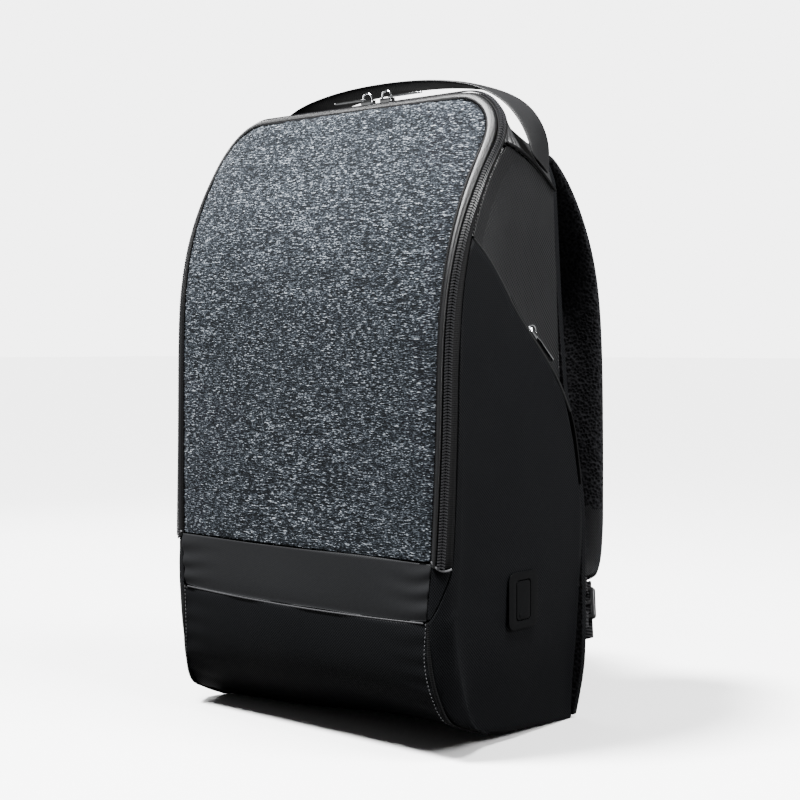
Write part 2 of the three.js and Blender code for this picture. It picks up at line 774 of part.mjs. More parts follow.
// Back: one padded wall, narrower at the top, with rounded upper corners
const BACK_PROFILE = [
  { height: 0.005, half: 0.94 },
  { height: 0.03, half: 1.0 },
  { height: 0.25, half: 1.0 },
  { height: 0.38, half: 1.0 },
  { height: 0.45, half: 0.96 },
  { height: 0.53, half: 0.895 },
  { height: 0.70, half: 0.845 },
  { height: 0.90, half: 0.81 },
];
const backShare = readTable(BACK_PROFILE, 'height', 'half');
const BACK_COLUMNS = [-1, -0.95, -0.5, 0, 0.5, 0.95, 1];
const BACK_RIM_SHARE = 0.55;

function makeBackPanel() {
  const outline = [];
  const sideSteps = 10;
  const cornerZ = BACK_TOP_HEIGHT - BACK_TOP_RADIUS;
  const bottomZ = BACK_PROFILE[0].height * BACK_TOP_HEIGHT;
  for (let j = 0; j < sideSteps; j += 1) {
    const z = lerp(bottomZ, cornerZ, j / sideSteps);
    outline.push({ half: BACK_HALF_WIDTH * backShare(z / BACK_TOP_HEIGHT), z });
  }
  const topHalf = BACK_HALF_WIDTH * backShare(cornerZ / BACK_TOP_HEIGHT);
  for (let j = 0; j <= CORNER_STEPS; j += 1) {
    const angle = (j / CORNER_STEPS) * RIGHT_ANGLE;
    outline.push({
      half: topHalf - BACK_TOP_RADIUS * (1 - Math.cos(angle)),
      z: cornerZ + BACK_TOP_RADIUS * Math.sin(angle),
    });
  }
  const last = outline.length - 1;
  const onRim = (j, u) => j === 0 || j === last || Math.abs(u) === 1;
  const front = BACK_FACE_Y + SEAM_GAP;
  const inner = outline.map(({ half, z }) =>
    BACK_COLUMNS.map((u) => new THREE.Vector3(u * half, front, z)));
  const outer = outline.map(({ half, z }, j) => BACK_COLUMNS.map((u) =>
    new THREE.Vector3(u * half, front + (onRim(j, u) ? BACK_RIM_SHARE : 1) * BACK_WALL, z)));
  return shell(outer, inner);
}

// Piping along the seam between the upper side and the top
const PIPING_RADIUS = 1.4;
function seamPoint(share) {
  const y = lerp(sideStart(BODY_HEIGHT - TOP_CORNER_RADIUS).y + 1, BACK_FACE_Y - 1, share);
  const z = sideTopZ(share);
  return new THREE.Vector3(upperX(y, z), y, z);
}

function makePiping() {
  const points = [];
  const steps = 8;
  for (let i = 0; i <= steps; i += 1) {
    const p = seamPoint(i / steps);
    p.x += PIPING_RADIUS + SEAM_GAP;
    points.push(p);
  }
  const circle = new THREE.Shape().absarc(0, 0, PIPING_RADIUS, 0, 2 * Math.PI);
  return new THREE.ExtrudeGeometry(circle, {
    steps: 10,
    curveSegments: 3,
    bevelEnabled: false,
    extrudePath: new THREE.CatmullRomCurve3(points),
  });
}

// Zip tape in the step between the pocket mouth and the recessed upper side
const MOUTH_ZIP_START = 0.42;
const MOUTH_ZIP_END = 0.985;
function mouthFrame(y) {
  const step = 0.5;
  const along = new THREE.Vector3(0, 2 * step, mouthZ(y + step) - mouthZ(y - step)).normalize();
  const up = new THREE.Vector3(0, -along.z, along.y);
  const point = new THREE.Vector3(pocketX(y, mouthZ(y)), y, mouthZ(y));
  return { along, up, point };
}

function makePocketZip() {
  const steps = 12;
  const rows = [];
  for (let i = 0; i <= steps; i += 1) {
    const depth = lerp(MOUTH_ZIP_START, MOUTH_ZIP_END, i / steps);
    const y = FRONT_FACE_Y + BODY_DEPTH * depth;
    const { up, point } = mouthFrame(y);
    const seat = point.clone().addScaledVector(up, POCKET_ZIP_WALL + SEAM_GAP);
    const innerX = upperX(seat.y, seat.z) + 2 * SEAM_GAP;
    const outerX = Math.max(point.x - SEAM_GAP, innerX + POCKET_ZIP_LEAST);
    rows.push([0, 1].map((u) => new THREE.Vector3(lerp(innerX, outerX, u), seat.y, seat.z)));
  }
  const farBelow = new THREE.Vector3(0, 0, -10 * BODY_HEIGHT);
  return wall(rows, () => POCKET_ZIP_WALL, farBelow);
}

// Handle: an arch over the top, span and rise as shares, sewn down along the side seams
const HANDLE_ARCH = [
  { span: 1.0, rise: 0.0 },
  { span: 1.016, rise: 0.13 },
  { span: 1.012, rise: 0.26 },
  { span: 0.972, rise: 0.46 },
  { span: 0.872, rise: 0.68 },
  { span: 0.690, rise: 0.855 },
  { span: 0.425, rise: 0.955 },
  { span: 0.180, rise: 0.994 },
  { span: 0.0, rise: 1.0 },
];
function handleFoot() {
  const share = (HANDLE_FOOT_Y - seamPoint(0).y) / (seamPoint(1).y - seamPoint(0).y);
  const step = 0.02;
  const seam = seamPoint(share);
  const along = seamPoint(share + step).sub(seamPoint(share - step)).normalize();
  seam.x += 2 * SEAM_GAP + HANDLE_THICKNESS / 2 + HANDLE_STAND_OFF;
  seam.z += PIPING_RADIUS + HANDLE_FOOT_GAP;
  return { seam, along };
}

function makeHandle() {
  const { seam, along: seamAlong } = handleFoot();
  const half = HANDLE_ARCH.map((row) => new THREE.Vector3(
    row.span * seam.x,
    lerp(HANDLE_FOOT_Y, HANDLE_TOP_Y, row.rise ** 0.7),
    lerp(seam.z, HANDLE_HEIGHT, row.rise),
  ));
  const curve = new THREE.CatmullRomCurve3([...half, ...half.slice(0, -1).reverse().map(mirrorPoint)]);
  const steps = 26;
  const rows = [];
  for (let i = 0; i <= steps; i += 1) {
    const centre = curve.getPointAt(i / steps);
    const along = curve.getTangentAt(i / steps);
    const rise = clamp((centre.z - seam.z) / (HANDLE_HEIGHT - seam.z), 0, 1);
    const follow = (1 - rise) ** 2;
    const level = new THREE.Vector3(0, 1, 0).addScaledVector(along, -along.y).normalize();
    const foot = new THREE.Vector3(seamAlong.x * Math.sign(centre.x), seamAlong.y, seamAlong.z);
    const side = level.lerp(foot, follow).normalize();
    const out = new THREE.Vector3().crossVectors(along, side).normalize();
    rows.push({ centre, side, out, width: HANDLE_WIDTH, thickness: HANDLE_THICKNESS });
  }
  return strapGeometry(rows, SOFT_SECTION);
}

// Shoulder strap: height and reach behind the back as shares, place across and width as shares
const STRAP_PATH = [
  { height: 0.988, reach: 0.13, across: 0.49, width: 0.94, thick: 0.7 },
  { height: 0.983, reach: 0.21, across: 0.49, width: 0.96, thick: 0.9 },
  { height: 0.968, reach: 0.31, across: 0.49, width: 0.98, thick: 1.0 },
  { height: 0.934, reach: 0.46, across: 0.50, width: 1.0, thick: 1.0 },
  { height: 0.880, reach: 0.64, across: 0.51, width: 1.0, thick: 1.0 },
  { height: 0.800, reach: 0.815, across: 0.52, width: 1.0, thick: 1.0 },
  { height: 0.700, reach: 0.91, across: 0.525, width: 1.0, thick: 1.0 },
  { height: 0.560, reach: 0.935, across: 0.53, width: 1.0, thick: 1.0 },
  { height: 0.420, reach: 0.915, across: 0.545, width: 0.98, thick: 1.0 },
  { height: 0.310, reach: 0.87, across: 0.58, width: 0.90, thick: 0.95 },
  { height: 0.240, reach: 0.79, across: 0.63, width: 0.74, thick: 0.85 },
  { height: 0.212, reach: 0.70, across: 0.67, width: 0.55, thick: 0.75 },
];
const strapCurveOf = () => new THREE.CatmullRomCurve3(STRAP_PATH.map((row) => new THREE.Vector3(
  row.across * BODY_HALF_WIDTH,
  BACK_FACE_Y + row.reach * STRAP_REACH,
  row.height * STRAP_HEIGHT,
)));

function strapRows(steps) {
  const curve = strapCurveOf();
  const last = STRAP_PATH.length - 1;
  const rows = [];
  for (let i = 0; i <= steps; i += 1) {
    const t = i / steps;
    const centre = curve.getPoint(t);
    const along = curve.getTangent(t);
    const side = new THREE.Vector3(1, 0, 0).addScaledVector(along, -along.x).normalize();
    const out = new THREE.Vector3().crossVectors(side, along).normalize();
    const k = Math.min(Math.floor(t * last), last - 1);
    const f = t * last - k;
    const width = STRAP_WIDTH * lerp(STRAP_PATH[k].width, STRAP_PATH[k + 1].width, f);
    const thickness = STRAP_THICKNESS * lerp(STRAP_PATH[k].thick, STRAP_PATH[k + 1].thick, f);
    rows.push({ centre, along, side, out, width, thickness });
  }
  return rows;
}

// The ladder lock hangs from the strap end and leads to the anchor on the back's lower corner
const strapEnd = strapRows(STRAP_PATH.length - 1).pop();
const anchorPoint = new THREE.Vector3(ANCHOR_X, BACK_FACE_Y + BACK_WALL + SEAM_GAP, ANCHOR_Z);
const LOCK_REACH = 9;
const lockAlong = strapEnd.along.clone().normalize();
const lockCentre = strapEnd.centre.clone().addScaledVector(lockAlong, LOCK_REACH + LOCK_HEIGHT / 2);
const lockOut = new THREE.Vector3().crossVectors(strapEnd.side, lockAlong);
const lockFrame = { centre: lockCentre, along: lockAlong, side: strapEnd.side, out: lockOut };
const lockPlace = (along, side, out) => lockFrame.centre.clone()
  .addScaledVector(lockFrame.along, along)
  .addScaledVector(lockFrame.side, side)
  .addScaledVector(lockFrame.out, out);

function toManifold(geometry) {
  const bare = geometry.clone();
  bare.deleteAttribute('normal');
  bare.deleteAttribute('uv');
  const merged = mergeVertices(bare, 1e-4);
  return new manifoldLibrary.Manifold(new manifoldLibrary.Mesh({
    numProp: 3,
    vertProperties: new Float32Array(merged.attributes.position.array),
    triVerts: new Uint32Array(merged.index.array),
  }));
}

function fromManifold(solid) {
  const mesh = solid.getMesh();
  const geometry = new THREE.BufferGeometry();
  const positions = new Float32Array(mesh.vertProperties);
  geometry.setAttribute('position', new THREE.BufferAttribute(positions, 3));
  geometry.setIndex([...mesh.triVerts]);
  return geometry;
}

function roundedRectangle(width, height, radius) {
  const w = width / 2 - radius;
  const h = height / 2 - radius;
  const shape = new THREE.Shape();
  shape.absarc(w, h, radius, 0, RIGHT_ANGLE);
  shape.absarc(-w, h, radius, RIGHT_ANGLE, Math.PI);
  shape.absarc(-w, -h, radius, Math.PI, 1.5 * Math.PI);
  shape.absarc(w, -h, radius, 1.5 * Math.PI, 2 * Math.PI);
  return shape;
}

// Plate in its own XY plane, centred on z 0
function plate(shape, thickness, segments = 3) {
  const geometry = new THREE.ExtrudeGeometry(shape, {
    depth: thickness,
    bevelEnabled: false,
    curveSegments: segments,
  });
  geometry.translate(0, 0, -thickness / 2);
  return geometry;
}

function basisMatrix(x, y, z, origin) {
  return new THREE.Matrix4().makeBasis(x, y, z).setPosition(origin);
}

const LOCK_SLOT = (LOCK_HEIGHT - 3 * LOCK_BAR) / 2;
const LOCK_CORNER = 2.5;
function makeLock() {
  const shape = roundedRectangle(LOCK_WIDTH, LOCK_HEIGHT, LOCK_CORNER);
  for (const sign of [-1, 1]) {
    const slot = new THREE.Path();
    const w = LOCK_WIDTH / 2 - LOCK_BAR;
    const near = sign * LOCK_BAR / 2;
    const far = sign * (LOCK_BAR / 2 + LOCK_SLOT);
    slot.moveTo(-w, near);
    slot.lineTo(w, near);
    slot.lineTo(w, far);
    slot.lineTo(-w, far);
    shape.holes.push(slot);
  }
  const geometry = plate(shape, LOCK_THICKNESS);
  const { side, along, out, centre } = lockFrame;
  geometry.applyMatrix4(basisMatrix(side, along, out, centre));
  return geometry;
}

// A webbing loop round a bar of the lock, in the lock's own directions
const barEdge = LOCK_HEIGHT / 2 - LOCK_BAR;
const loopOut = LOCK_THICKNESS / 2 + SEAM_GAP + WEBBING_THICKNESS;
const loopTurn = barEdge - SEAM_GAP - WEBBING_THICKNESS;
const loopShoulder = 0.57 * loopOut;
function loopPoints(direction) {
  const over = LOCK_HEIGHT / 2 + SEAM_GAP;
  return [
    lockPlace(direction * over, 0, -loopOut),
    lockPlace(direction * (barEdge + 2 * SEAM_GAP), 0, -loopOut),
    lockPlace(direction * loopTurn, 0, -loopShoulder),
    lockPlace(direction * loopTurn, 0, loopShoulder),
    lockPlace(direction * (barEdge + 2 * SEAM_GAP), 0, loopOut),
    lockPlace(direction * over, 0, loopOut),
  ];
}

function ribbon(points, side, width, thickness, steps) {
  const curve = new THREE.CatmullRomCurve3(points, false, 'centripetal');
  const rows = [];
  for (let i = 0; i <= steps; i += 1) {
    const centre = curve.getPointAt(i / steps);
    const along = curve.getTangentAt(i / steps);
    const across = side.clone().addScaledVector(along, -along.dot(side)).normalize();
    const out = new THREE.Vector3().crossVectors(across, along).normalize();
    rows.push({ centre, side: across, out, width, thickness });
  }
  return strapGeometry(rows, FLAT_SECTION);
}

function makeStrapLoop() {
  const end = -(LOCK_REACH + LOCK_HEIGHT / 2 - 2 * SEAM_GAP);
  const points = [lockPlace(end, 0, -loopOut), ...loopPoints(-1), lockPlace(end, 0, loopOut)];
  return ribbon(points, lockFrame.side, WEBBING_WIDTH, WEBBING_THICKNESS, 16);
}

const TAIL_LENGTH = 14;
const WEBBING_SAG = 3;
const WEBBING_LEAD = 8;
function makeLowerWebbing() {
  const clear = ANCHOR_THICKNESS + 2 * SEAM_GAP;
  const meet = anchorPoint.clone().add(new THREE.Vector3(0, clear, 0));
  const lead = meet.clone().add(new THREE.Vector3(0, WEBBING_LEAD, 0));
  const [before, ...loop] = loopPoints(1);
  const half = before.clone().lerp(lead, 0.5).add(new THREE.Vector3(0, 0, -WEBBING_SAG));
  const tail = lockPlace(LOCK_HEIGHT / 2 + TAIL_LENGTH, 0, loopOut + SEAM_GAP);
  const points = [meet, lead, half, before, ...loop, tail];
  return ribbon(points, lockFrame.side, WEBBING_WIDTH, WEBBING_THICKNESS, 30);
}

function makeAnchor() {
  const outline = roundedRectangle(ANCHOR_WIDTH, ANCHOR_HEIGHT, LOCK_CORNER);
  const geometry = plate(outline, ANCHOR_THICKNESS);
  geometry.rotateX(RIGHT_ANGLE);
  const y = BACK_FACE_Y + BACK_WALL + 2 * SEAM_GAP + ANCHOR_THICKNESS / 2;
  geometry.translate(ANCHOR_X, y, ANCHOR_Z);
  return geometry;
}

// Charging port on the right side: a moulded frame with a cover in its window
const portFace = () => {
  let x = 0;
  for (const dy of [-0.5, 0, 0.5]) {
    for (const dz of [-0.5, 0, 0.5]) {
      x = Math.max(x, pocketX(PORT_Y + dy * PORT_WIDTH, PORT_Z + dz * PORT_HEIGHT));
    }
  }
  return x + SEAM_GAP;
};

function standOnSide(geometry, y, z) {
  geometry.applyMatrix4(basisMatrix(
    new THREE.Vector3(0, 1, 0),
    new THREE.Vector3(0, 0, 1),
    new THREE.Vector3(1, 0, 0),
    new THREE.Vector3(portFace() + PORT_THICKNESS / 2, y, z),
  ));
  return geometry;
}

function makePortFrame() {
  const shape = roundedRectangle(PORT_WIDTH, PORT_HEIGHT, PORT_CORNER_RADIUS);
  const windowWidth = PORT_COVER_WIDTH + 2 * PORT_GROOVE;
  const windowHeight = PORT_COVER_HEIGHT + 2 * PORT_GROOVE;
  shape.holes.push(roundedRectangle(windowWidth, windowHeight, PORT_CORNER_RADIUS / 2));
  return standOnSide(plate(shape, PORT_THICKNESS), PORT_Y, PORT_Z);
}

function makePortCover() {
  const corner = (PORT_CORNER_RADIUS - PORT_GROOVE) / 2;
  const outline = roundedRectangle(PORT_COVER_WIDTH, PORT_COVER_HEIGHT, corner);
  const body = plate(outline, PORT_THICKNESS);
  const tab = roundedRectangle(PORT_TAB_WIDTH, PORT_TAB_HEIGHT, PORT_TAB_HEIGHT / 3);
  const rib = plate(tab, PORT_THICKNESS);
  rib.translate(0, -PORT_COVER_HEIGHT / 2 + PORT_TAB_HEIGHT, PORT_THICKNESS * 0.6);
  return standOnSide(fromManifold(toManifold(body).add(toManifold(rib))), PORT_Y, PORT_Z);
}

// Slider: travel along x, standing up along z, its bridge an arch that the pull's eye runs on
const BRIDGE_CENTRE = SLIDER_HEIGHT + PULL_CLEARANCE + PULL_THICKNESS / 2;
function makeSlider() {
  const body = plate(roundedRectangle(SLIDER_LENGTH, SLIDER_WIDTH, SLIDER_WIDTH * 0.3), SLIDER_HEIGHT);
  body.translate(0, 0, SLIDER_HEIGHT / 2);
  const sunk = SLIDER_HEIGHT * 0.5;
  const points = [new THREE.Vector3(-BRIDGE_RADIUS, 0, sunk)];
  const arcSteps = 5;
  for (let i = 0; i <= arcSteps; i += 1) {
    const angle = Math.PI * (1 - i / arcSteps);
    points.push(new THREE.Vector3(
      BRIDGE_RADIUS * Math.cos(angle),
      0,
      BRIDGE_CENTRE + BRIDGE_RADIUS * Math.sin(angle),
    ));
  }
  points.push(new THREE.Vector3(BRIDGE_RADIUS, 0, sunk));
  const circle = new THREE.Shape().absarc(0, 0, BRIDGE_BAR / 2, 0, 2 * Math.PI);
  const bridge = new THREE.ExtrudeGeometry(circle, {
    steps: 12,
    curveSegments: 3,
    bevelEnabled: false,
    extrudePath: new THREE.CatmullRomCurve3(points, false, 'centripetal'),
  });
  return fromManifold(toManifold(body).add(toManifold(bridge)));
}

// Pull in its own frame: hinge axis y through the middle of the bridge, lying along +x
function makePull() {
  const eye = BRIDGE_BAR / 2 + PULL_CLEARANCE;
  const inner = BRIDGE_RADIUS - eye - PULL_RIM;
  const shape = new THREE.Shape();
  const half = PULL_WIDTH / 2;
  const tip = PULL_LENGTH;
  shape.moveTo(inner, -half * 0.7);
  shape.lineTo(BRIDGE_RADIUS + eye + PULL_RIM, -half * 0.7);
  shape.lineTo(BRIDGE_RADIUS + eye + 3 * PULL_RIM, -half);
  shape.lineTo(tip - half, -half);
  shape.absarc(tip - half, 0, half, -RIGHT_ANGLE, RIGHT_ANGLE);
  shape.lineTo(BRIDGE_RADIUS + eye + 3 * PULL_RIM, half);
  shape.lineTo(BRIDGE_RADIUS + eye + PULL_RIM, half * 0.7);
  shape.lineTo(inner, half * 0.7);
  const hole = new THREE.Path().absarc(BRIDGE_RADIUS, 0, eye, 0, 2 * Math.PI);
  shape.holes.push(hole);
  return plate(shape, PULL_THICKNESS, 4);
}

function addSlider(name, origin, along, up) {
  const across = new THREE.Vector3().crossVectors(up, along);
  const slider = makeSlider();
  slider.applyMatrix4(basisMatrix(along, across, up, origin));
  addPiece(`${name}_slider`, slider, darkChrome);
  const pull = makePull();
  const pivot = origin.clone().addScaledVector(up, BRIDGE_CENTRE);
  pull.applyMatrix4(basisMatrix(along, across, up, pivot));
  addPiece(`${name}_pull`, pull, darkChrome);
}

function frontSliderPlace(x) {
  const station = topStation(0.5);
  const length = zipStart(station) + 0.3 * ZIP_WIDTH;
  const point = onLip(station, length);
  const angle = Math.min(length / station.round, RIGHT_ANGLE);
  const up = new THREE.Vector3(0, -Math.cos(angle), Math.sin(angle));
  point.x = x;
  point.addScaledVector(up, ZIP_COIL_RISE + SEAM_GAP);
  return { point, up };
}

const pieces = {
  front_panel: [makeFrontPanel(), heatherCloth],
  front_band: [makeFrontBand(), coatedCloth],
  base_panel: [makeBasePanel(), coatedCloth],
  front_binding: [makeBinding(), coatedCloth],
  front_zip: [makeZip(), darkCloth],
  top_panel: [makeTopPanel(), coatedCloth],
  back_panel: [makeBackPanel(), meshCloth],
  handle: [makeHandle(), coatedCloth],
  charging_port_frame: [makePortFrame(), mouldedRubber],
  charging_port_cover: [makePortCover(), mouldedRubber],
};
for (const [name, [geometry, material]] of Object.entries(pieces)) {
  addPiece(name, geometry, material);
}

function mirrored(geometry, sign) {
  if (sign > 0) {
    return geometry;
  }
  let copy = geometry.clone();
  copy.deleteAttribute('normal');
  copy.deleteAttribute('uv');
  copy = mergeVertices(copy, 1e-4);
  copy.scale(-1, 1, 1);
  const index = copy.getIndex().array;
  for (let i = 0; i < index.length; i += 3) {
    [index[i], index[i + 1]] = [index[i + 1], index[i]];
  }
  return copy;
}

for (const side of SIDES) {
  const sidePieces = {
    corner_gusset: [makeGusset(), darkCloth],
    side_pocket: [makePocket(), coatedCloth],
    side_upper: [makeUpperSide(), coatedCloth],
    side_piping: [makePiping(), darkCloth],
    pocket_zip: [makePocketZip(), darkCloth],
    shoulder_strap: [strapGeometry(strapRows(22), SOFT_SECTION), meshCloth],
    strap_loop: [makeStrapLoop(), darkCloth],
    ladder_lock: [makeLock(), lockPlastic],
    lower_webbing: [makeLowerWebbing(), darkCloth],
    webbing_anchor: [makeAnchor(), darkCloth],
  };
  for (const [name, [geometry, material]] of Object.entries(sidePieces)) {
    addPiece(`${name}_${side.name}`, mirrored(geometry, side.sign), material);
  }
  const { along, up, point } = mouthFrame(POCKET_SLIDER_Y);
  const seat = point.clone().addScaledVector(up, POCKET_ZIP_WALL + 2 * SEAM_GAP);
  seat.x = side.sign * (point.x - SLIDER_WIDTH / 2 - SEAM_GAP);
  addSlider(`pocket_${side.name}`, seat, along, up);
}

FRONT_SLIDER_X.forEach((x, i) => {
  const { point, up } = frontSliderPlace(x);
  const along = new THREE.Vector3(i === 0 ? -1 : 1, 0, 0);
  addSlider(`front_${i === 0 ? 'left' : 'right'}`, point, along, up);
});

// The origin is the bottom centre of the whole bag
const whole = new THREE.Box3().setFromObject(group);
const middle = whole.getCenter(new THREE.Vector3());
group.position.set(-middle.x, -middle.y, -whole.min.z);

export default group;
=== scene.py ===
# %% [markdown]
# # Dressing a backpack that stands on the floor
# The bag is sewn from flat patches: a padded heathered front, a band, a base, two sides with
# pockets, a top, a mesh back and two padded straps. A solid model already gives every patch its
# place. Each step here turns one of those plain solids into cloth, webbing or metal.

# %% Load the solid model
import math

import bmesh
import bpy
import numpy as np
from mathutils import Matrix, Vector, kdtree, noise


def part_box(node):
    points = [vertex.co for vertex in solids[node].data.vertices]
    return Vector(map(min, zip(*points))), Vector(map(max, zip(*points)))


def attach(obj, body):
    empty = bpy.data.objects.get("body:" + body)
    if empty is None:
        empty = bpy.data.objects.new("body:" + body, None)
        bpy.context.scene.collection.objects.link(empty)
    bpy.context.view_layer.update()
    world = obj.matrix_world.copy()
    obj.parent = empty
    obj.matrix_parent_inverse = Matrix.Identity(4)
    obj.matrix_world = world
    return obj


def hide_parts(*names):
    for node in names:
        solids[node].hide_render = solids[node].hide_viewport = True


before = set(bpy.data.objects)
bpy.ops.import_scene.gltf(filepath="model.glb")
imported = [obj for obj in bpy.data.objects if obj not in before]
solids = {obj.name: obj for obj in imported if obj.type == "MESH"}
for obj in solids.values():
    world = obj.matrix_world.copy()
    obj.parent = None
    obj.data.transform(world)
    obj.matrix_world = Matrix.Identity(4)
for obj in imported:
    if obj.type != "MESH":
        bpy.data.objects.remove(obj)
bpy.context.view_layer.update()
MM = 0.001
BAG = "bag"

# %% [markdown]
# ## The camera
# The bag is seen from its front right corner, level, from a little above its middle. A long lens
# keeps the upright lines upright. Moving the frame down with shift keeps the camera level, which
# tilting it would not.

# %% Camera
camera_data = bpy.data.cameras.new("camera")
camera_data.lens = 64.8
camera_data.sensor_width = 36
camera_data.shift_y = -0.0675
camera = bpy.data.objects.new("camera", camera_data)
camera.location = (0.7244, -0.8718, 0.280)
camera.rotation_euler = (math.radians(90), 0, math.radians(40))
bpy.context.scene.collection.objects.link(camera)
bpy.context.scene.camera = camera
print("camera at", tuple(camera.location))

# %% [markdown]
# ## Building materials from nodes
# A cloth is colour, gloss and a small relief, each driven by a texture in the object's own
# metres, so that a thread has a real size. Two short helpers keep the node trees readable.

# %% Helpers for node trees
def start_finish(name, colour, roughness, **settings):
    material = bpy.data.materials.new(name)
    material.use_nodes = True
    shader = material.node_tree.nodes["Principled BSDF"]
    shader.inputs["Base Color"].default_value = (*colour, 1)
    shader.inputs["Roughness"].default_value = roughness
    for socket, value in settings.items():
        shader.inputs[socket.replace("_", " ")].default_value = value
    return material, material.node_tree, shader


def add_node(tree, kind, sockets=None, **settings):
    node = tree.nodes.new("ShaderNode" + kind)
    for key, value in settings.items():
        setattr(node, key, value)
    for key, value in (sockets or {}).items():
        socket = node.inputs[key]
        if isinstance(value, bpy.types.NodeSocket):
            tree.links.new(value, socket)
        else:
            socket.default_value = value
    return node


def object_place(tree, scale=(1, 1, 1), turn=(0, 0, 0)):
    place = add_node(tree, "TexCoord").outputs["Object"]
    return add_node(tree, "Mapping", {"Vector": place, "Scale": scale, "Rotation": turn}).outputs[0]


def noise_value(tree, place, scale=1.0, detail=2.0, rough=0.5):
    sockets = {"Vector": place, "Scale": scale, "Detail": detail, "Roughness": rough}
    return add_node(tree, "TexNoise", sockets).outputs[0]


def math_value(tree, operation, a, b):
    return add_node(tree, "Math", {0: a, 1: b}, operation=operation).outputs[0]


def ramp(tree, value, stops):
    node = add_node(tree, "ValToRGB", {0: value})
    band = node.color_ramp
    while len(band.elements) < len(stops):
        band.elements.new(0.5)
    for element, (at, colour) in zip(band.elements, stops):
        element.position = at
        element.color = (*colour, 1) if len(colour) == 3 else (colour[0],) * 3 + (1,)
    return node.outputs[0]


def relief(tree, shader, height, depth):
    bump = add_node(tree, "Bump", {"Height": height, "Distance": depth, "Strength": 1.0})
    tree.links.new(bump.outputs[0], shader.inputs["Normal"])


print("helpers ready")

# %% [markdown]
# ## The heathered knit
# Heather yarn mixes dark, grey and white fibres, and the machine lays them in level rows. So the
# fleck is a noise stretched sideways, a few millimetres long and under a millimetre high. A ramp
# turns it into mostly slate grey with few dark and few white flecks.

# %% Heathered knit
def heather_knit():
    material, tree, shader = start_finish("heather_knit", (0.1, 0.11, 0.13), 0.85,
                                          Sheen_Weight=0.01, Specular_IOR_Level=0.08)
    rows = noise_value(tree, object_place(tree, (210, 210, 1350)), 1, 2, 0.55)
    fibres = noise_value(tree, object_place(tree, (560, 560, 1900)), 1, 1, 0.5)
    clouds = noise_value(tree, object_place(tree, (24, 24, 90)), 1, 2, 0.6)
    fleck = math_value(tree, "ADD", math_value(tree, "MULTIPLY", rows, 0.52),
                       math_value(tree, "MULTIPLY", fibres, 0.48))
    fleck = math_value(tree, "ADD", fleck, math_value(tree, "MULTIPLY", clouds, 0.06))
    colour = ramp(tree, fleck, [(0.46, (0.0015, 0.0020, 0.0027)), (0.53, (0.0066, 0.0084, 0.0110)),
                                (0.58, (0.0200, 0.0245, 0.0305)), (0.635, (0.085, 0.098, 0.114)),
                                (0.70, (0.38, 0.405, 0.435))])
    tree.links.new(colour, shader.inputs["Base Color"])
    relief(tree, shader, fleck, 0.0012)
    return material


KNIT = heather_knit()
print(KNIT.name)

# %% [markdown]
# ## Coated twill
# The dark patches are a twill under a thin coating: fine slanting ribs, a soft sheen at the
# edges, and a gloss that wanders a little. Two crossed wave textures make the ribs. The sum of
# X and Y runs along both the front and the sides, so one slant serves every wall.

# %% Coated twill
def coated_twill(name, colour, roughness, pitch=0.0024, depth=0.00022, gloss=0.04, sheen=0.004):
    material, tree, shader = start_finish(name, colour, roughness, Sheen_Weight=sheen,
                                          Sheen_Roughness=0.35, Specular_IOR_Level=gloss)
    scale = 0.628 / pitch
    slant = add_node(tree, "TexWave", {"Vector": object_place(tree), "Scale": scale},
                     bands_direction="DIAGONAL").outputs[1]
    other = object_place(tree, (-1, -1, 1))
    cross = add_node(tree, "TexWave", {"Vector": other, "Scale": scale * 1.1},
                     bands_direction="DIAGONAL").outputs[1]
    ribs = math_value(tree, "ADD", math_value(tree, "MULTIPLY", slant, 0.7),
                      math_value(tree, "MULTIPLY", cross, 0.35))
    grain = noise_value(tree, object_place(tree), 900, 2, 0.6)
    height = math_value(tree, "ADD", ribs, math_value(tree, "MULTIPLY", grain, 0.5))
    wander = noise_value(tree, object_place(tree), 14, 3, 0.6)
    lo = max(roughness - 0.07, 0.05)
    shine = ramp(tree, wander, [(0.3, (lo,)), (0.7, (roughness + 0.09,))])
    tree.links.new(shine, shader.inputs["Roughness"])
    # The colour follows the relief: partly random tone from the grain, partly painted shade in the
    # rib valleys and painted highlight on the ridges.
    valley_shade = tuple(c * 0.6 for c in colour)
    light = tuple(c * 1.5 for c in colour)
    tree.links.new(ramp(tree, height, [(0.2, valley_shade), (1.2, light)]), shader.inputs["Base Color"])
    relief(tree, shader, height, depth)
    return material


TWILL = coated_twill("coated_twill", (0.0036, 0.0038, 0.0043), 0.46)
SIDE_CLOTH = coated_twill("side_cloth", (0.0040, 0.0042, 0.0046), 0.42, pitch=0.0034,
                          depth=0.00028, gloss=0.3)
BAND_CLOTH = coated_twill("band_cloth", (0.0098, 0.0101, 0.0108), 0.48, pitch=0.0016,
                          depth=0.0001, gloss=0.06)
BINDING_CLOTH = coated_twill("binding_cloth", (0.0055, 0.0056, 0.0060), 0.34, pitch=0.0012,
                             depth=0.00008, gloss=0.4)
HANDLE_CLOTH = coated_twill("handle_cloth", (0.0050, 0.0051, 0.0055), 0.38, pitch=0.0014,
                            depth=0.00008, gloss=0.4)
GUSSET_CLOTH = coated_twill("gusset_cloth", (0.0120, 0.0122, 0.0128), 0.42, pitch=0.0010,
                            depth=0.00006, gloss=0.4)
print(TWILL.name, BAND_CLOTH.name)
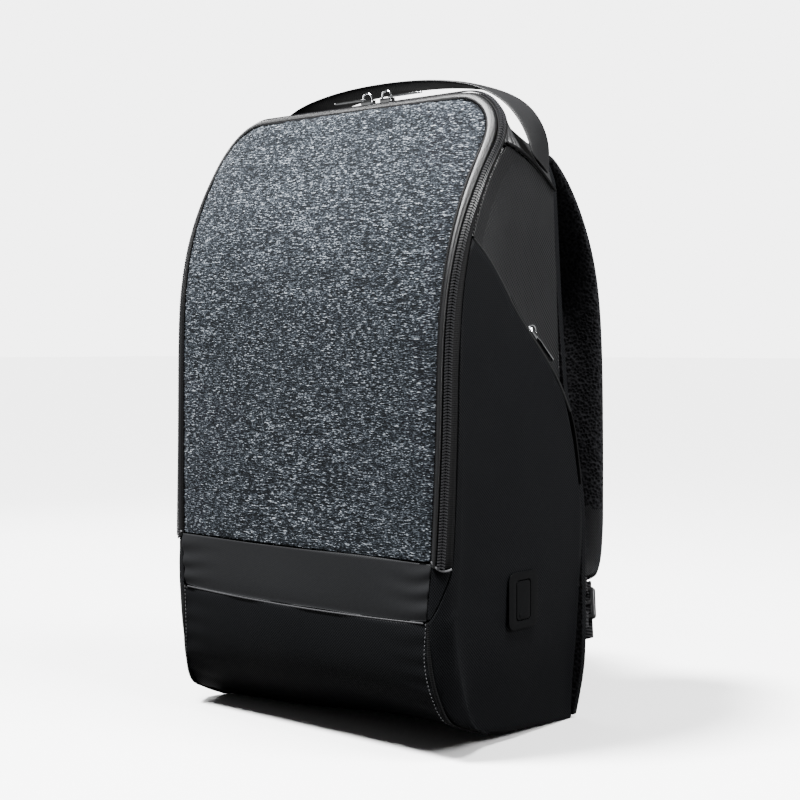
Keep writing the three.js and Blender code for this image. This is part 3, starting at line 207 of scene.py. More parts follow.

# %% [markdown]
# ## Tape, webbing and mesh
# Zip tape and webbing are woven with ribs across their length. Air mesh is a knit full of small
# holes, so its relief is a pattern of sunk cells. Each cell is coloured darker towards its middle,
# which is painted shade in the holes.

# %% Tape, webbing and mesh
def ribbed_cloth(name, colour, roughness, pitch, direction, depth=0.00025):
    material, tree, shader = start_finish(name, colour, roughness, Sheen_Weight=0.004,
                                          Specular_IOR_Level=0.08)
    wave = add_node(tree, "TexWave", {"Vector": object_place(tree), "Scale": 0.314 / pitch,
                                      "Distortion": 0.4, "Detail": 1.0},
                    bands_direction=direction).outputs[1]
    grain = noise_value(tree, object_place(tree), 1400, 1)
    height = math_value(tree, "ADD", wave, math_value(tree, "MULTIPLY", grain, 0.4))
    # The colour follows the relief: partly random tone from the grain, partly painted shade in the
    # rib valleys and painted highlight on the ribs.
    valley_shade = tuple(c * 0.4 for c in colour)
    light = tuple(c * 2.2 for c in colour)
    tree.links.new(ramp(tree, height, [(0.2, valley_shade), (1.2, light)]), shader.inputs["Base Color"])
    relief(tree, shader, height, depth)
    return material


def air_mesh():
    material, tree, shader = start_finish("air_mesh", (0.008, 0.008, 0.009), 0.85,
                                          Sheen_Weight=0.004, Specular_IOR_Level=0.06)
    cells = add_node(tree, "TexVoronoi", {"Vector": object_place(tree), "Scale": 420.0})
    # Darker towards each cell's sunk middle: painted shade in the mesh's holes.
    colour = ramp(tree, cells.outputs["Distance"], [(0.15, (0.0015, 0.0015, 0.0018)),
                                                    (0.75, (0.018, 0.018, 0.020))])
    tree.links.new(colour, shader.inputs["Base Color"])
    relief(tree, shader, cells.outputs["Distance"], 0.0007)
    return material


TAPE = ribbed_cloth("zip_tape", (0.0024, 0.0024, 0.0026), 0.6, 0.0012, "Z", 0.0001)
WEBBING = ribbed_cloth("webbing", (0.0090, 0.0090, 0.0098), 0.5, 0.0022, "Z", 0.0004)
STRAP_WEAVE = ribbed_cloth("strap_weave", (0.0085, 0.0088, 0.0095), 0.6, 0.0011, "DIAGONAL", 0.0003)
MESH = air_mesh()
print(TAPE.name, WEBBING.name, MESH.name)

# %% [markdown]
# ## Hard finishes
# The sliders and pulls are dark polished metal, the lock is satin plastic, and the port's patch
# is moulded rubber. Fine noise in the gloss keeps them from looking like glass.

# %% Hard finishes
def plain_finish(name, colour, roughness, grain_scale, depth, **settings):
    material, tree, shader = start_finish(name, colour, roughness, **settings)
    grain = noise_value(tree, object_place(tree), grain_scale, 3, 0.6)
    gloss = ramp(tree, grain, [(0.3, (roughness * 0.8,)), (0.7, (roughness * 1.3,))])
    tree.links.new(gloss, shader.inputs["Roughness"])
    relief(tree, shader, grain, depth)
    return material


CHROME = plain_finish("dark_chrome", (0.55, 0.56, 0.57), 0.14, 500, 0.00001, Metallic=1.0)
LOCK_PLASTIC = plain_finish("lock_plastic", (0.014, 0.014, 0.015), 0.34, 900, 0.00004)
RUBBER = plain_finish("port_rubber", (0.0028, 0.0029, 0.0032), 0.42, 1100, 0.00005,
                      Specular_IOR_Level=0.06)
COIL = plain_finish("zip_coil", (0.020, 0.020, 0.022), 0.34, 700, 0.00002,
                    Specular_IOR_Level=0.5)
THREAD = plain_finish("thread", (0.08, 0.08, 0.085), 0.5, 1500, 0.00005)
# The next two greys are painted highlights: lighter colours for cords on folds of the dark cloth.
FOLD_HIGHLIGHT = plain_finish("fold_edge", (0.09, 0.09, 0.095), 0.4, 1500, 0.00003)
SOFT_HIGHLIGHT = plain_finish("soft_edge", (0.020, 0.020, 0.022), 0.36, 1500, 0.00003)
print(CHROME.name, RUBBER.name)

# %% [markdown]
# ## From a solid to cloth
# A copy of a solid is merged into one skin and its triangle pairs are joined to quads. Its hard
# rims get a crease, then subdivision rounds the rest, as cloth rounds over foam. The finished
# skin can then be pushed about point by point for folds and puckers.

# %% Helpers for pieces
SLOTS = {}


def add_piece(form, name, finish, slot, replaced=(), body=BAG, smooth=True):
    mesh = bpy.data.meshes.new(name)
    form.to_mesh(mesh)
    form.free()
    piece = bpy.data.objects.new(name, mesh)
    bpy.context.scene.collection.objects.link(piece)
    mesh.materials.append(finish)
    if smooth:
        mesh.shade_smooth()
    if replaced:
        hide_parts(*replaced)
    SLOTS[name] = (slot, body)
    return piece


def merged_copy(node):
    form = bmesh.new()
    form.from_mesh(solids[node].data)
    bmesh.ops.remove_doubles(form, verts=form.verts, dist=0.02 * MM)
    return form


def soft_copy(node, finish, slot, levels=2, fold=0.8, angle=50, body=BAG):
    form = merged_copy(node)
    bmesh.ops.join_triangles(form, faces=form.faces[:], angle_face_threshold=math.radians(35),
                             angle_shape_threshold=math.radians(110))
    crease = form.edges.layers.float.new("crease_edge")
    for edge in form.edges:
        if len(edge.link_faces) == 2 and edge.calc_face_angle() > math.radians(angle):
            edge[crease] = fold
    piece = add_piece(form, "cloth_" + node, finish, slot, (node,), body)
    surface = piece.modifiers.new("round", "SUBSURF")
    surface.levels = surface.render_levels = levels
    return piece


def settle(piece):
    """Keeps what the modifiers make as the piece's own mesh."""
    graph = bpy.context.evaluated_depsgraph_get()
    mesh = bpy.data.meshes.new_from_object(piece.evaluated_get(graph))
    piece.modifiers.clear()
    piece.data = mesh
    return piece


def reshape(piece, move):
    mesh = piece.data
    points = np.empty(len(mesh.vertices) * 3)
    normals = np.empty(len(mesh.vertices) * 3)
    mesh.vertices.foreach_get("co", points)
    mesh.vertices.foreach_get("normal", normals)
    moved = move(points.reshape(-1, 3), normals.reshape(-1, 3))
    mesh.vertices.foreach_set("co", moved.ravel())
    mesh.update()


def waves(points, size, seed):
    """Smooth random heights from -1 to 1, the same on every run."""
    offset = Vector((seed * 3.7, seed * 1.3, seed * 2.1))
    return np.array([noise.noise(Vector(p) / size + offset) for p in points])


def near(points, line):
    """How far each point is from a line of points, and which of them is nearest."""
    tree = kdtree.KDTree(len(line))
    for i, p in enumerate(line):
        tree.insert(p, i)
    tree.balance()
    found = [tree.find(p) for p in points]
    return np.array([f[2] for f in found]), np.array([f[1] for f in found])


print("piece helpers ready")

# %% [markdown]
# ## The bag's outline as a formula
# Binding, zip and stitches all follow one outline: up the side, round the top corner and across.
# The same named sizes that shaped the solids give any number of points on it, with the direction
# that faces out of the bag. Teeth and stitches can then be set along it at an even pitch.

# %% Outline
HALF_WIDTH, HEIGHT, DEPTH, FACE_Y = 138, 461, 166, -116
CORNER_ROUND, TOP_RADIUS, LOW_RADIUS = 18, 40, 14
LOW_ROUND, FRONT_ROUND, BAND_LOW = 44, 62, 95
ZIP_END, BINDING, ZIP_WIDTH = 132, 4.2, 9.5
SHIFT = Vector((-0.4766, -8.4561, 0))
PROFILE = [(0, 0), (0.29, 0.004), (0.46, 0.010), (0.64, 0.016), (0.71, 0.030), (0.78, 0.068),
           (0.86, 0.150), (0.90, 0.212), (0.95, 0.292), (1, 0.345)]
EDGE = [(0, 12, 1), (0.2, 1, 1), (0.29, 4.2, 1), (0.46, 7, 1), (0.64, 8.6, 1.05),
        (0.78, 12.5, 1.35), (0.91, 17, 2.1)]


def read_table(rows, column, value):
    keys = [row[0] for row in rows]
    heights = [row[column] for row in rows]
    if value <= keys[0]:
        return heights[0]
    if value >= keys[-1]:
        return heights[-1]
    i = max(k for k in range(len(keys) - 1) if keys[k] <= value)

    def slope(k):
        a, b = max(k - 1, 0), min(k + 1, len(keys) - 1)
        return (heights[b] - heights[a]) / (keys[b] - keys[a])

    span = keys[i + 1] - keys[i]
    t = (value - keys[i]) / span
    rise = heights[i + 1] - heights[i]
    a, b = slope(i) * span, slope(i + 1) * span
    return heights[i] + a * t + (3 * rise - 2 * a - b) * t * t + (a + b - 2 * rise) * t ** 3


def front_y(z):
    return FACE_Y + DEPTH * read_table(PROFILE, 1, z / HEIGHT)


def side_station(z):
    low = min(max(1 - z / BAND_LOW, 0), 1)
    return dict(x=HALF_WIDTH, z=z, nx=1, nz=0, turn=0,
                round=CORNER_ROUND + (LOW_ROUND - CORNER_ROUND) * low ** 1.5)


def top_corner_station(share):
    nx, nz = math.cos(share * math.pi / 2), math.sin(share * math.pi / 2)
    return dict(x=HALF_WIDTH - TOP_RADIUS * (1 - nx), z=HEIGHT - TOP_RADIUS * (1 - nz),
                nx=nx, nz=nz, round=CORNER_ROUND, turn=share)


def low_corner_station(share):
    nx, nz = math.cos(share * math.pi / 2), -math.sin(share * math.pi / 2)
    near_round = side_station(LOW_RADIUS)["round"]
    return dict(x=HALF_WIDTH - LOW_RADIUS * (1 - nx), z=LOW_RADIUS * (1 + nz), nx=nx, nz=nz,
                round=near_round + (FRONT_ROUND - near_round) * share ** 2, turn=-share)


def on_lip(station, length):
    angle = min(max(length / station["round"], 0), math.pi / 2)
    inward = station["round"] * (1 - math.sin(angle))
    z = station["z"] - station["nz"] * inward
    beyond = max(0, length - station["round"] * math.pi / 2)
    front = FACE_Y if station["turn"] < 0 else front_y(z)
    y = front + station["round"] * (1 - math.cos(angle)) + beyond
    return Vector((station["x"] - station["nx"] * inward, y, z)) + SHIFT


def edge_length(station):
    side = read_table(EDGE, 1, station["z"] / HEIGHT)
    return side + (16 - side) * max(station["turn"], 0)


def binding_width(station):
    side = min(read_table(EDGE, 2, station["z"] / HEIGHT) * BINDING, 9.5)
    return side + (1.6 * BINDING - side) * max(station["turn"], 0)


def zip_start(station):
    return edge_length(station) + binding_width(station)


def outline_stations():
    stations = [side_station(z) for z in np.arange(ZIP_END, HEIGHT - TOP_RADIUS, 2.0)]
    stations += [top_corner_station(share) for share in np.linspace(0, 1, 26)]
    inner = HALF_WIDTH - TOP_RADIUS
    for x in np.linspace(inner, 0, 30)[1:]:
        stations.append(dict(x=x, z=HEIGHT, nx=0, nz=1, round=CORNER_ROUND, turn=1))
    return stations


def outward(station, length):
    """Out of the bag, square to the lip."""
    angle = min(max(length / station["round"], 0), math.pi / 2)
    side = Vector((station["nx"], 0, station["nz"])) * math.sin(angle)
    return (side + Vector((0, -math.cos(angle), 0))).normalized()


def outline(length_at, rise=0.0):
    """Points from the left zip end over the top to the right one, in metres, and outward."""
    half, out = [], []
    for station in outline_stations():
        length = length_at(station)
        direction = outward(station, length)
        half.append((on_lip(station, length) + direction * rise) * MM)
        out.append(direction)
    flip = Vector((2 * SHIFT.x * MM, 0, 0))
    left = [Vector((-p.x, p.y, p.z)) + flip for p in half]
    left_out = [Vector((-d.x, d.y, d.z)) for d in out]
    return left[:-1] + half[::-1], left_out[:-1] + out[::-1]


def even(points, directions, pitch):
    """The same line at an even pitch: place, along and outward for each step."""
    line = np.array([tuple(p) for p in points])
    sides = np.array([tuple(d) for d in directions])
    steps = np.concatenate([[0], np.cumsum(np.linalg.norm(np.diff(line, axis=0), axis=1))])
    at = np.arange(pitch / 2, steps[-1], pitch)
    place = np.stack([np.interp(at, steps, line[:, k]) for k in range(3)], axis=1)
    out = np.stack([np.interp(at, steps, sides[:, k]) for k in range(3)], axis=1)
    along = np.gradient(place, axis=0)
    return [(Vector(p), Vector(a).normalized(), Vector(o).normalized())
            for p, a, o in zip(place, along, out)]


zip_line, zip_out = outline(lambda s: zip_start(s) + 0.26 * ZIP_WIDTH)
panel_line = outline(edge_length)[0]
print("outline points", len(zip_line), "zip length mm",
      round(sum((b - a).length for a, b in zip(zip_line, zip_line[1:])) / MM))

# %% [markdown]
# ## How a full bag stands
# A real bag does not stand on a flat plate. Its weight sits on the rear of the base, the front
# right corner lifts a little and the left one hangs lower. One function moves every low point in
# the same way, so that the patches, seams and stitches stay together.

# %% Sag of the base
FLAT_END, SAG_REACH, SAG_LEFT, SAG_TURN = 41, 103, -4.5, 12.0


def sag(points):
    x, y, z = points[:, 0] / MM, points[:, 1] / MM, points[:, 2] / MM
    forward = np.clip((FLAT_END - y) / SAG_REACH, 0, 1.15)
    low = np.clip(1 - z / BAND_LOW, 0, 1) ** 2
    right = np.clip((x + 110) / 190, 0, 1)
    right = right * right * (3 - 2 * right)
    moved = points.copy()
    moved[:, 2] += MM * forward * low * (SAG_LEFT + SAG_TURN * right)
    moved[:, 2] = np.maximum(moved[:, 2], np.minimum(points[:, 2], 0.0002))
    return moved


def sag_piece(piece):
    reshape(piece, lambda points, normals: sag(points))
    return piece


print("lift at the front right corner, mm",
      round(float(sag(np.array([[0.12, -0.062, 0.001]]))[0, 2] / MM), 1))

# %% [markdown]
# ## The padded front panel
# Foam lies behind the knit, so the panel stays smooth and its rim rolls down into the binding.
# The seam pulls at the cloth and leaves faint puckers that fade within a centimetre or two.

# %% Front panel
RIM_WIDTH, RIM_DENT, PUCKER_REACH = 4.5, 1.6, 11
front = settle(soft_copy("front_panel", KNIT, "heather_cloth", levels=3))


def pad_front(points, normals):
    away, at = near(points, panel_line)
    rim = np.exp(-((away / (RIM_WIDTH * MM)) ** 2))
    pull = np.exp(-away / (PUCKER_REACH * MM)) * np.sin(at * 0.9) * np.sin(at * 0.37 + 1)
    dent = -RIM_DENT * rim + 0.28 * pull + 0.5 * waves(points, 0.09, 1)
    return points + normals * (dent * MM)[:, None]


reshape(front, pad_front)
print("front panel faces", len(front.data.polygons))

# %% [markdown]
# ## Band and base
# The band is a smooth coated strip and the base is one deep pan of the twill that curves under
# the bag. Both are pulled a little where they meet the side seam.

# %% Band and base
band = settle(soft_copy("front_band", BAND_CLOTH, "coated_cloth", levels=3))
base = settle(soft_copy("base_panel", TWILL, "coated_cloth", levels=3))


def pucker_low(points, normals):
    x, z = np.abs(points[:, 0]) / MM, points[:, 2] / MM
    edge = np.clip((x - 70) / 60, 0, 1) ** 2
    band_seam = np.exp(-np.abs(z - BAND_LOW) / 7)
    dent = edge * (0.7 * np.sin(z * 0.45 + 2 * waves(points, 0.03, 2)))
    dent = dent - 0.8 * band_seam + 1.0 * waves(points, 0.06, 3)
    outside = np.clip(1 - z / 4, 0, 1)
    return points + normals * (dent * (1 - outside) * MM)[:, None]


reshape(band, pucker_low)
reshape(base, pucker_low)
sag_piece(base)
print("base faces", len(base.data.polygons))

# %% [markdown]
# ## Sides, gussets and top
# The side wall's lower part is the open pocket's front and stands proud of the upper wall. The
# top is a gusset of thin cloth, and thin cloth round a tight corner lies in pleats that run with
# the zip. The pleats are waves in the distance from the zip, fading out to the flat middle.

# %% Sides
outer_line = outline(lambda s: zip_start(s) + ZIP_WIDTH + 0.3, -2.3)[0]
middle = len(outer_line) // 2
zip_edge = {"left": outer_line[:middle], "right": outer_line[middle:]}
ROLL_DEPTH, ROLL_REACH = 2.6, 24
for side in ("right", "left"):
    pocket = settle(soft_copy("side_pocket_" + side, TWILL, "coated_cloth", levels=2))
    upper = settle(soft_copy("side_upper_" + side, SIDE_CLOTH, "coated_cloth", levels=3))
    settle(soft_copy("corner_gusset_" + side, TWILL, "coated_cloth", levels=3))

    def soften(points, normals):
        z = points[:, 2] / MM
        dent = 1.1 * waves(points, 0.07, 4) + 0.35 * waves(points, 0.022, 5)
        calm = np.clip(z / 12, 0, 1)
        return points + normals * (dent * calm * MM)[:, None]

    def roll_front(points, normals):
        away = near(points, zip_edge[side])[0]
        dent = ROLL_DEPTH * np.exp(-away / (ROLL_REACH * MM))
        return soften(points, normals) - normals * (dent * MM)[:, None]

    reshape(pocket, soften)
    reshape(upper, roll_front)
    sag_piece(pocket)
print("side faces", len(pocket.data.polygons))

# %% Pleated top
PLEAT_PITCH, PLEAT_DEPTH = 8.5, 1.5
top = settle(soft_copy("top_panel", GUSSET_CLOTH, "coated_cloth", levels=3))


def pleat_top(points, normals):
    away = near(points, outline(lambda s: zip_start(s) + ZIP_WIDTH)[0])[0] / MM
    x = np.abs(points[:, 0]) / MM
    corner = np.clip((x - 62) / 30, 0, 1)
    fade = np.clip(away / 4, 0, 1) * np.clip((46 - away) / 22, 0, 1)
    phase = away * 2 * math.pi / PLEAT_PITCH + 1.2 * waves(points, 0.04, 6)
    folds = PLEAT_DEPTH * np.sin(phase)
    dent = corner * fade * folds + 0.8 * waves(points, 0.05, 7)
    return points + normals * (dent * MM)[:, None]


reshape(top, pleat_top)
print("top faces", len(top.data.polygons))

# %% [markdown]
# ## Binding and zip
# The binding is a rolled strip of the coated cloth. The zip under it is a tape with a coil on
# it: two rows of fine slanting ribs. Each rib is a small block turned a few degrees, set along
# the outline at the coil's pitch.

# %% Binding and tape
settle(soft_copy("front_binding", BINDING_CLOTH, "coated_cloth", levels=2, angle=70))
settle(soft_copy("front_zip", TAPE, "zip_tape", levels=2, angle=70))
print("binding and tape settled")

# %% Coil
COIL_PITCH, COIL_HALF, COIL_RISE = 2.0 * MM, 2.6 * MM, 1.5 * MM
RIB_SLANT, RIB_THICK = 0.42, 1.1 * MM


def block(form, place, x_axis, y_axis, z_axis, size):
    turn = Matrix((x_axis, y_axis, z_axis)).transposed().to_4x4()
    matrix = Matrix.Translation(place) @ turn @ Matrix.Diagonal((*size, 1))
    bmesh.ops.create_cube(form, size=1, matrix=matrix)


def coil(name, steps):
    form = bmesh.new()
    for place, along, out in steps:
        across = along.cross(out).normalized()
        for hand in (-1, 1):
            slant = (across * hand + along * RIB_SLANT).normalized()
            ridge = slant.cross(out).normalized()
            centre = place + across * hand * COIL_HALF * 0.55 + out * COIL_RISE
            block(form, centre, slant, ridge, out, (COIL_HALF, 0.5 * COIL_PITCH, RIB_THICK))
    return add_piece(form, name, COIL, "zip_tape", smooth=False)


front_coil = coil("front_coil", even(zip_line, zip_out, COIL_PITCH))
print("coil ribs", len(front_coil.data.polygons) // 6)

# %% [markdown]
# ## Seams and stitches
# Where two patches meet there is a dark welt, and at the base a row of stitches beside it. The
# welt is a thin round cord laid in the seam. A stitch is a small round-ended grain of thread,
# repeated at an even pitch with a short gap.

# %% Helpers for welts and stitches
def welt(name, points, radius, finish, slot):
    curve = bpy.data.curves.new(name, "CURVE")
    curve.dimensions = "3D"
    curve.bevel_depth = radius
    curve.bevel_resolution = 2
    curve.use_fill_caps = True
    spline = curve.splines.new("POLY")
    spline.points.add(len(points) - 1)
    for point, place in zip(spline.points, points):
        point.co = (*place, 1)
    holder = bpy.data.objects.new(name + "_path", curve)
    form = bmesh.new()
    form.from_mesh(holder.to_mesh())
    bpy.data.objects.remove(holder)
    return add_piece(form, name, finish, slot)


STITCH_PITCH, STITCH_LENGTH, STITCH_THICK = 2.9 * MM, 1.9 * MM, 0.55 * MM


def stitches(name, steps):
    form = bmesh.new()
    for place, along, out in steps:
        across = along.cross(out).normalized()
        turn = Matrix((across, along, out)).transposed().to_4x4()
        size = Matrix.Diagonal((STITCH_THICK / 2, STITCH_LENGTH / 2, STITCH_THICK / 2, 1))
        bmesh.ops.create_uvsphere(form, u_segments=6, v_segments=4, radius=1,
                                  matrix=Matrix.Translation(place) @ turn @ size)
    return sag_piece(add_piece(form, name, THREAD, "zip_tape"))


print("a stitch every", round(STITCH_PITCH / MM, 1), "mm")

# %% Seam between base and side
BASE_SEAM = [(0.66, 0, 0.2), (0.36, 0, 0.4), (0, 0.3, 0.56), (0, 0.6, 0.74), (0, 0.85, 0.9),
             (0, 1, 1)]


TOE_START, TOE_REACH, TOE_LIFT = -30, 86, 16


def lift_toe(p):
    forward = min(max((TOE_START - (p.y - SHIFT.y)) / TOE_REACH, 0), 1)
    low = min(max(1 - p.z / BAND_LOW, 0), 1)
    return Vector((p.x, p.y, p.z + TOE_LIFT * forward ** 1.3 * low ** 2))


def base_seam(offset, rise):
    line, out = [], []
    for side, corner, turn in [(1, 0, 0.03)] + BASE_SEAM:
        station = side_station(side * BAND_LOW) if side > 0 else low_corner_station(corner)
        length = turn * math.pi / 2 * station["round"] + offset
        direction = outward(station, length)
        line.append(lift_toe(on_lip(station, length) + direction * rise) * MM)
        out.append(direction)
    return line, out


def spread(directions, count=60):
    """Directions for as many steps as a smooth line has."""
    at, known = np.linspace(0, 1, count), np.linspace(0, 1, len(directions))
    rows = [np.interp(at, known, [d[k] for d in directions]) for k in range(3)]
    return [Vector(v) for v in np.stack(rows, axis=1)]


def smooth_line(points, count=60):
    """A smooth line through a few points."""
    line = np.array([tuple(p) for p in points])
    steps = np.concatenate([[0], np.cumsum(np.linalg.norm(np.diff(line, axis=0), axis=1))])
    at = np.linspace(0, steps[-1], count)
    slopes = np.gradient(line, steps, axis=0)
    result = []
    for s in at:
        i = min(int(np.searchsorted(steps, s, side="right")) - 1, len(steps) - 2)
        h = steps[i + 1] - steps[i]
        t = (s - steps[i]) / h
        a, b = slopes[i] * h, slopes[i + 1] * h
        rise = line[i + 1] - line[i]
        result.append(Vector(line[i] + a * t + (3 * rise - 2 * a - b) * t * t
                             + (a + b - 2 * rise) * t ** 3))
    return result


def mirror_line(points):
    return [Vector((2 * SHIFT.x * MM - p.x, p.y, p.z)) for p in points]


welt("zip_seam", outer_line, 2.1 * MM, TAPE, "zip_tape")
welt("panel_seam", outline(lambda s: edge_length(s) + 0.1, -1.3)[0], 1.2 * MM, TAPE, "zip_tape")
seam_line = base_seam(0.6, -1.0)[0]
stitch_line, stitch_out = base_seam(-3.2, 0.15)
for side in ("right", "left"):
    flip = (lambda p: p) if side == "right" else mirror_line
    turn_out = [Vector((d.x if side == "right" else -d.x, d.y, d.z)) for d in stitch_out]
    sag_piece(welt("base_welt_" + side, flip(smooth_line(seam_line)), 1.5 * MM, TAPE, "zip_tape"))
    stitches("base_stitches_" + side,
             even(flip(smooth_line(stitch_line)), spread(turn_out), STITCH_PITCH))
print("base seam points", len(seam_line))

# %% [markdown]
# Three folded edges catch the light: the lower edge of the band, the fold that covers each end
# of the zip, and the rim of each pocket. A folded edge is a thin cord laid along the seam. The
# cords at the band and at the zip's ends are lighter greys than the cloth they fold: painted
# highlights on those folds. The rim's cord is the glossy binding cloth. The rim's course is read
# off the pocket's own solid, as the outer points of its sharp edges.

# %% Folded edges
REAR_X, REAR_Y, REAR_LOW, REAR_HIGH = 132.6, 48.2, 100, 163
POCKET_FACE = 137.7
band_edge = [Vector((x, -126.3 + 2.4 * (x / 110) ** 2, 92.3 + 1.7 * (x / 110) ** 2)) * MM
             for x in np.linspace(-118, 117, 60)]
fold_line = []
for t in np.linspace(0, 1, 14):
    station = side_station(ZIP_END - 2.5 + 7 * (1 - t) ** 3 + 2 * t ** 4)
    length = edge_length(station) + (zip_start(station) + ZIP_WIDTH - edge_length(station)) * t
    fold_line.append((on_lip(station, length) + outward(station, length) * 0.9) * MM)


def mouth_line(node):
    form = merged_copy(node)
    rim = {v for e in form.edges if len(e.link_faces) == 2 and e.calc_face_angle() > 0.9
           for v in e.verts}
    places = [v.co.copy() for v in rim if abs(v.co.x - SHIFT.x * MM) > POCKET_FACE * MM
              and v.co.y > -0.098 and v.co.z > 0.225]
    form.free()
    return smooth_line(sorted(places, key=lambda p: p.y)[1:], 80)


# The band's edge and the zip folds are coloured lighter than their cloth: painted highlights.
welt("band_edge", band_edge, 0.65 * MM, SOFT_HIGHLIGHT, "coated_cloth")
for side in ("right", "left"):
    flip = (lambda p: p) if side == "right" else mirror_line
    welt("zip_fold_" + side, flip(fold_line), 0.8 * MM, FOLD_HIGHLIGHT, "coated_cloth")
    rear = [(Vector((REAR_X, REAR_Y, z)) + SHIFT) * MM
            for z in np.linspace(REAR_LOW, REAR_HIGH, 12)]
    welt("rear_seam_" + side, flip(rear), 2.2 * MM, TAPE, "zip_tape")
    inward = -0.5 * MM if side == "right" else 0.5 * MM
    rim = [p + Vector((inward, 0, 0)) for p in mouth_line("side_pocket_" + side)]
    welt("pocket_rim_" + side, rim, 0.9 * MM, BINDING_CLOTH, "coated_cloth")
print("rim points", len(rim), "from", tuple(rim[0]), "to", tuple(rim[-1]))

# %% [markdown]
# ## Handle
# The handle is a wide flat arch, folded from the coated cloth. Its downward faces over the span
# take the darker, less glossy twill, whose darker colour is painted shade under the arch. Its two
# feet are sewn down onto the side seams.

# %% Handle and piping
handle = settle(soft_copy("handle", HANDLE_CLOTH, "coated_cloth", levels=3, angle=70))
handle.data.materials.append(TWILL)
# Faces that look down along the span take the darker twill: painted shade under the arch.
for face in handle.data.polygons:
    face.material_index = 1 if face.normal.z < 0.02 and abs(face.center.x) < 0.105 else 0
for side in ("right", "left"):
    soft_copy("side_piping_" + side, TAPE, "zip_tape", levels=1, angle=80)
    soft_copy("pocket_zip_" + side, TAPE, "zip_tape", levels=2)
print("handle faces", len(handle.data.polygons))

# %% [markdown]
# ## Back and shoulder straps
# The back is foam under air mesh, pressed in along two upright channels and a level one where air
# can pass. The straps have a woven outside, and the same mesh on the side that lies on the body.

# %% Back
CHANNEL_X, CHANNEL_DEPTH, LEVEL_Z, SWELL = 30, 4.6, 250, 2.2
back = settle(soft_copy("back_panel", MESH, "air_mesh", levels=4, fold=0.6))


def channel_back(points, normals):
    x, y, z = points[:, 0] / MM, points[:, 1] / MM, points[:, 2] / MM
    channel = np.exp(-((np.abs(x) - CHANNEL_X) / 7) ** 2) * np.clip((z - 60) / 30, 0, 1)
    level = np.exp(-((z - LEVEL_Z) / 6) ** 2)
    swell = np.cos(np.clip(x / 130, -1, 1) * math.pi / 2)
    rear = np.clip((y - 46) / 3, 0, 1)
    dent = rear * (-CHANNEL_DEPTH * np.maximum(channel, level * 0.8) + SWELL * swell)
    return points + normals * (dent * MM)[:, None]


reshape(back, channel_back)
back.data.materials.append(TWILL)
for face in back.data.polygons:
    face.material_index = 1 if abs(face.normal.y) < 0.7 else 0
print("back faces", len(back.data.polygons))

# %% Shoulder straps
for side in ("right", "left"):
    strap = settle(soft_copy("shoulder_strap_" + side, STRAP_WEAVE, "air_mesh", levels=3,
                             fold=0.3, angle=70))
    strap.data.materials.append(MESH)
    for face in strap.data.polygons:
        face.material_index = 1 if face.normal.y < -0.1 and face.center.z > 0.150 else 0
    for node in ("strap_loop_", "lower_webbing_", "webbing_anchor_"):
        soft_copy(node + side, WEBBING, "webbing", levels=2, fold=0.9)
print("straps done")

# %% [markdown]
# ## Hard pieces
# Moulded and cast pieces keep their shape and only lose their knife edges. The copy's flat faces
# are joined first, then a small bevel catches the light along each rim.

# %% Sliders, pulls, locks and port
def hard_copy(node, finish, slot, rim, body=BAG):
    form = merged_copy(node)
    bmesh.ops.dissolve_limit(form, angle_limit=math.radians(2), verts=form.verts[:],
                             edges=form.edges[:])
    sharp = [e for e in form.edges
             if len(e.link_faces) == 2 and e.calc_face_angle() > math.radians(40)]
    bmesh.ops.bevel(form, geom=sharp, offset=rim, segments=2, affect="EDGES", profile=0.5,
                    material=-1, clamp_overlap=True)
    piece = add_piece(form, "hard_" + node, finish, slot, (node,), body)
    piece.data.set_sharp_from_angle(angle=math.radians(35))
    return piece


for name in ("pocket_right", "pocket_left", "front_left", "front_right"):
    hard_copy(name + "_slider", CHROME, "dark_chrome", 0.3 * MM)
    hard_copy(name + "_pull", CHROME, "dark_chrome", 0.25 * MM, body=name + "_pull")
for side in ("right", "left"):
    hard_copy("ladder_lock_" + side, LOCK_PLASTIC, "lock_plastic", 0.5 * MM)
    lock = np.array([tuple(v.co) for v in solids["ladder_lock_" + side].data.vertices])
    middle = (lock.max(axis=0) + lock.min(axis=0)) / 2
    axes = np.linalg.svd(lock - lock.mean(axis=0), full_matrices=False)[2]
    reach = np.abs((lock - middle) @ axes.T).max(axis=0) * 2
    form = bmesh.new()
    block(form, Vector(middle), *[Vector(a) for a in axes], tuple(reach * (0.86, 0.80, 0.42)))
    add_piece(form, "webbing_in_lock_" + side, WEBBING, "webbing", smooth=False)
PORT_FLAT = 0.35
port_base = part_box("charging_port_frame")[0].x
for node in ("charging_port_frame", "charging_port_cover"):
    port = hard_copy(node, RUBBER, "port_rubber", 0.3 * MM)
    reshape(port, lambda points, normals: np.stack(
        [port_base + (points[:, 0] - port_base) * PORT_FLAT, points[:, 1], points[:, 2]], axis=1))
print("hard pieces done")

# %% [markdown]
# ## Floor and light
# Black cloth looks black only when little light comes from around it. So the surround and the
# floor look white, but shine only dimly on the bag. A wide sun from high on the left is the key:
# it is brightest where the front leans back, and leaves the right side in the dark. A small light
# above the front lifts its upper half. Two lights on the right draw the bright rims on binding,
# gusset and handle, and a weak one shows the left.

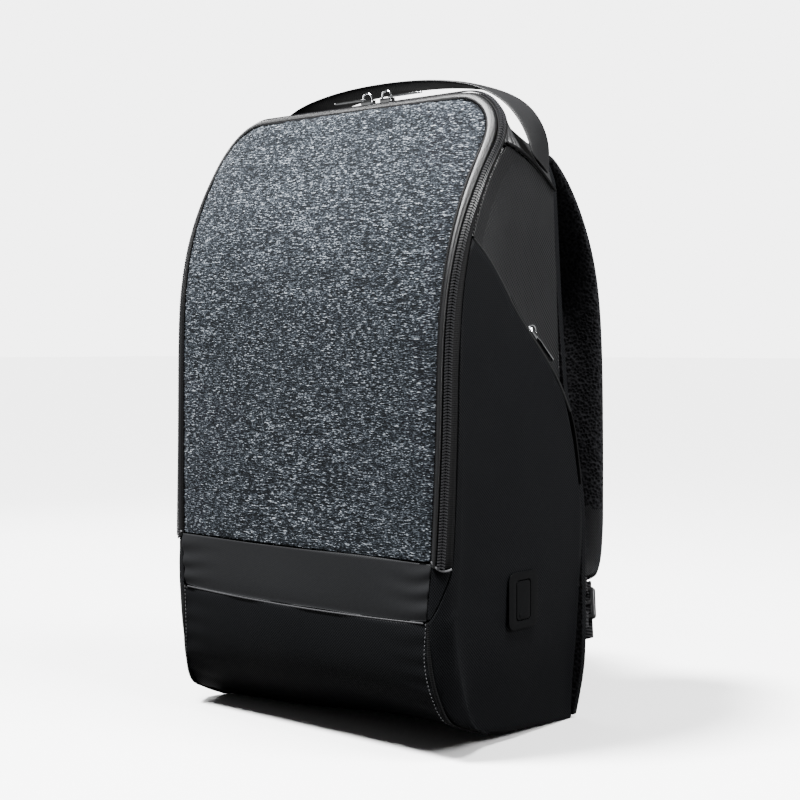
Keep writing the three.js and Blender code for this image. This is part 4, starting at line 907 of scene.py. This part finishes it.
# %% Floor and light
floor_mesh = bpy.data.meshes.new("floor")
floor_form = bmesh.new()
bmesh.ops.create_grid(floor_form, x_segments=1, y_segments=1, size=30)
floor_form.to_mesh(floor_mesh)
floor_form.free()
floor = bpy.data.objects.new("floor", floor_mesh)
bpy.context.scene.collection.objects.link(floor)
floor.location.z = -0.0002
floor_finish, floor_tree, floor_shader = start_finish("floor", (0.9, 0.9, 0.9), 0.9,
                                                      Specular_IOR_Level=0.0)
seen = add_node(floor_tree, "LightPath").outputs["Is Camera Ray"]
floor_tree.links.new(ramp(floor_tree, seen, [(0, (0.08,)), (1, (0.97,))]),
                     floor_shader.inputs["Base Color"])
floor_mesh.materials.append(floor_finish)

world = bpy.data.worlds.new("studio")
bpy.context.scene.world = world
world.use_nodes = True
surround = world.node_tree.nodes["Background"]
surround.inputs[0].default_value = (1, 1, 1, 1)
seen = add_node(world.node_tree, "LightPath").outputs["Is Camera Ray"]
SEEN_LIGHT, LIT_LIGHT = 5.1, 0.08
brightness = add_node(world.node_tree, "Math", {0: seen, 1: SEEN_LIGHT, 2: LIT_LIGHT},
                      operation="MULTIPLY_ADD")
world.node_tree.links.new(brightness.outputs[0], surround.inputs[1])


def area_light(name, place, target, size, power):
    data = bpy.data.lights.new(name, "AREA")
    data.size = size
    data.energy = power
    light = bpy.data.objects.new(name, data)
    light.location = place
    aim = Vector(target) - Vector(place)
    light.rotation_euler = aim.to_track_quat("-Z", "Y").to_euler()
    bpy.context.scene.collection.objects.link(light)
    return light


key_data = bpy.data.lights.new("key", "SUN")
key_data.energy = 15.5
key_data.angle = math.radians(11)
key = bpy.data.objects.new("key", key_data)
key.rotation_euler = Vector((0.26, 0.36, -1)).to_track_quat("-Z", "Y").to_euler()
bpy.context.scene.collection.objects.link(key)
area_light("rim", (0.62, -0.03, 1.40), (0.12, -0.05, 0.44), 0.4, 40)
area_light("side", (1.26, 0.30, 0.76), (0.14, -0.04, 0.38), 0.45, 27)
area_light("top", (-0.08, -0.40, 0.84), (-0.04, -0.10, 0.40), 0.25, 12)
area_light("left", (-1.15, 0.35, 0.85), (-0.14, 0, 0.30), 0.6, 16)
print("lights", len(bpy.data.lights))

# %% [markdown]
# ## Hand every piece to the bag
# Each piece rides with a rigid part of the bag, so that a pull can swing and the cloth stays.

# %% Ride
for name, (slot, body) in SLOTS.items():
    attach(bpy.data.objects[name], body)
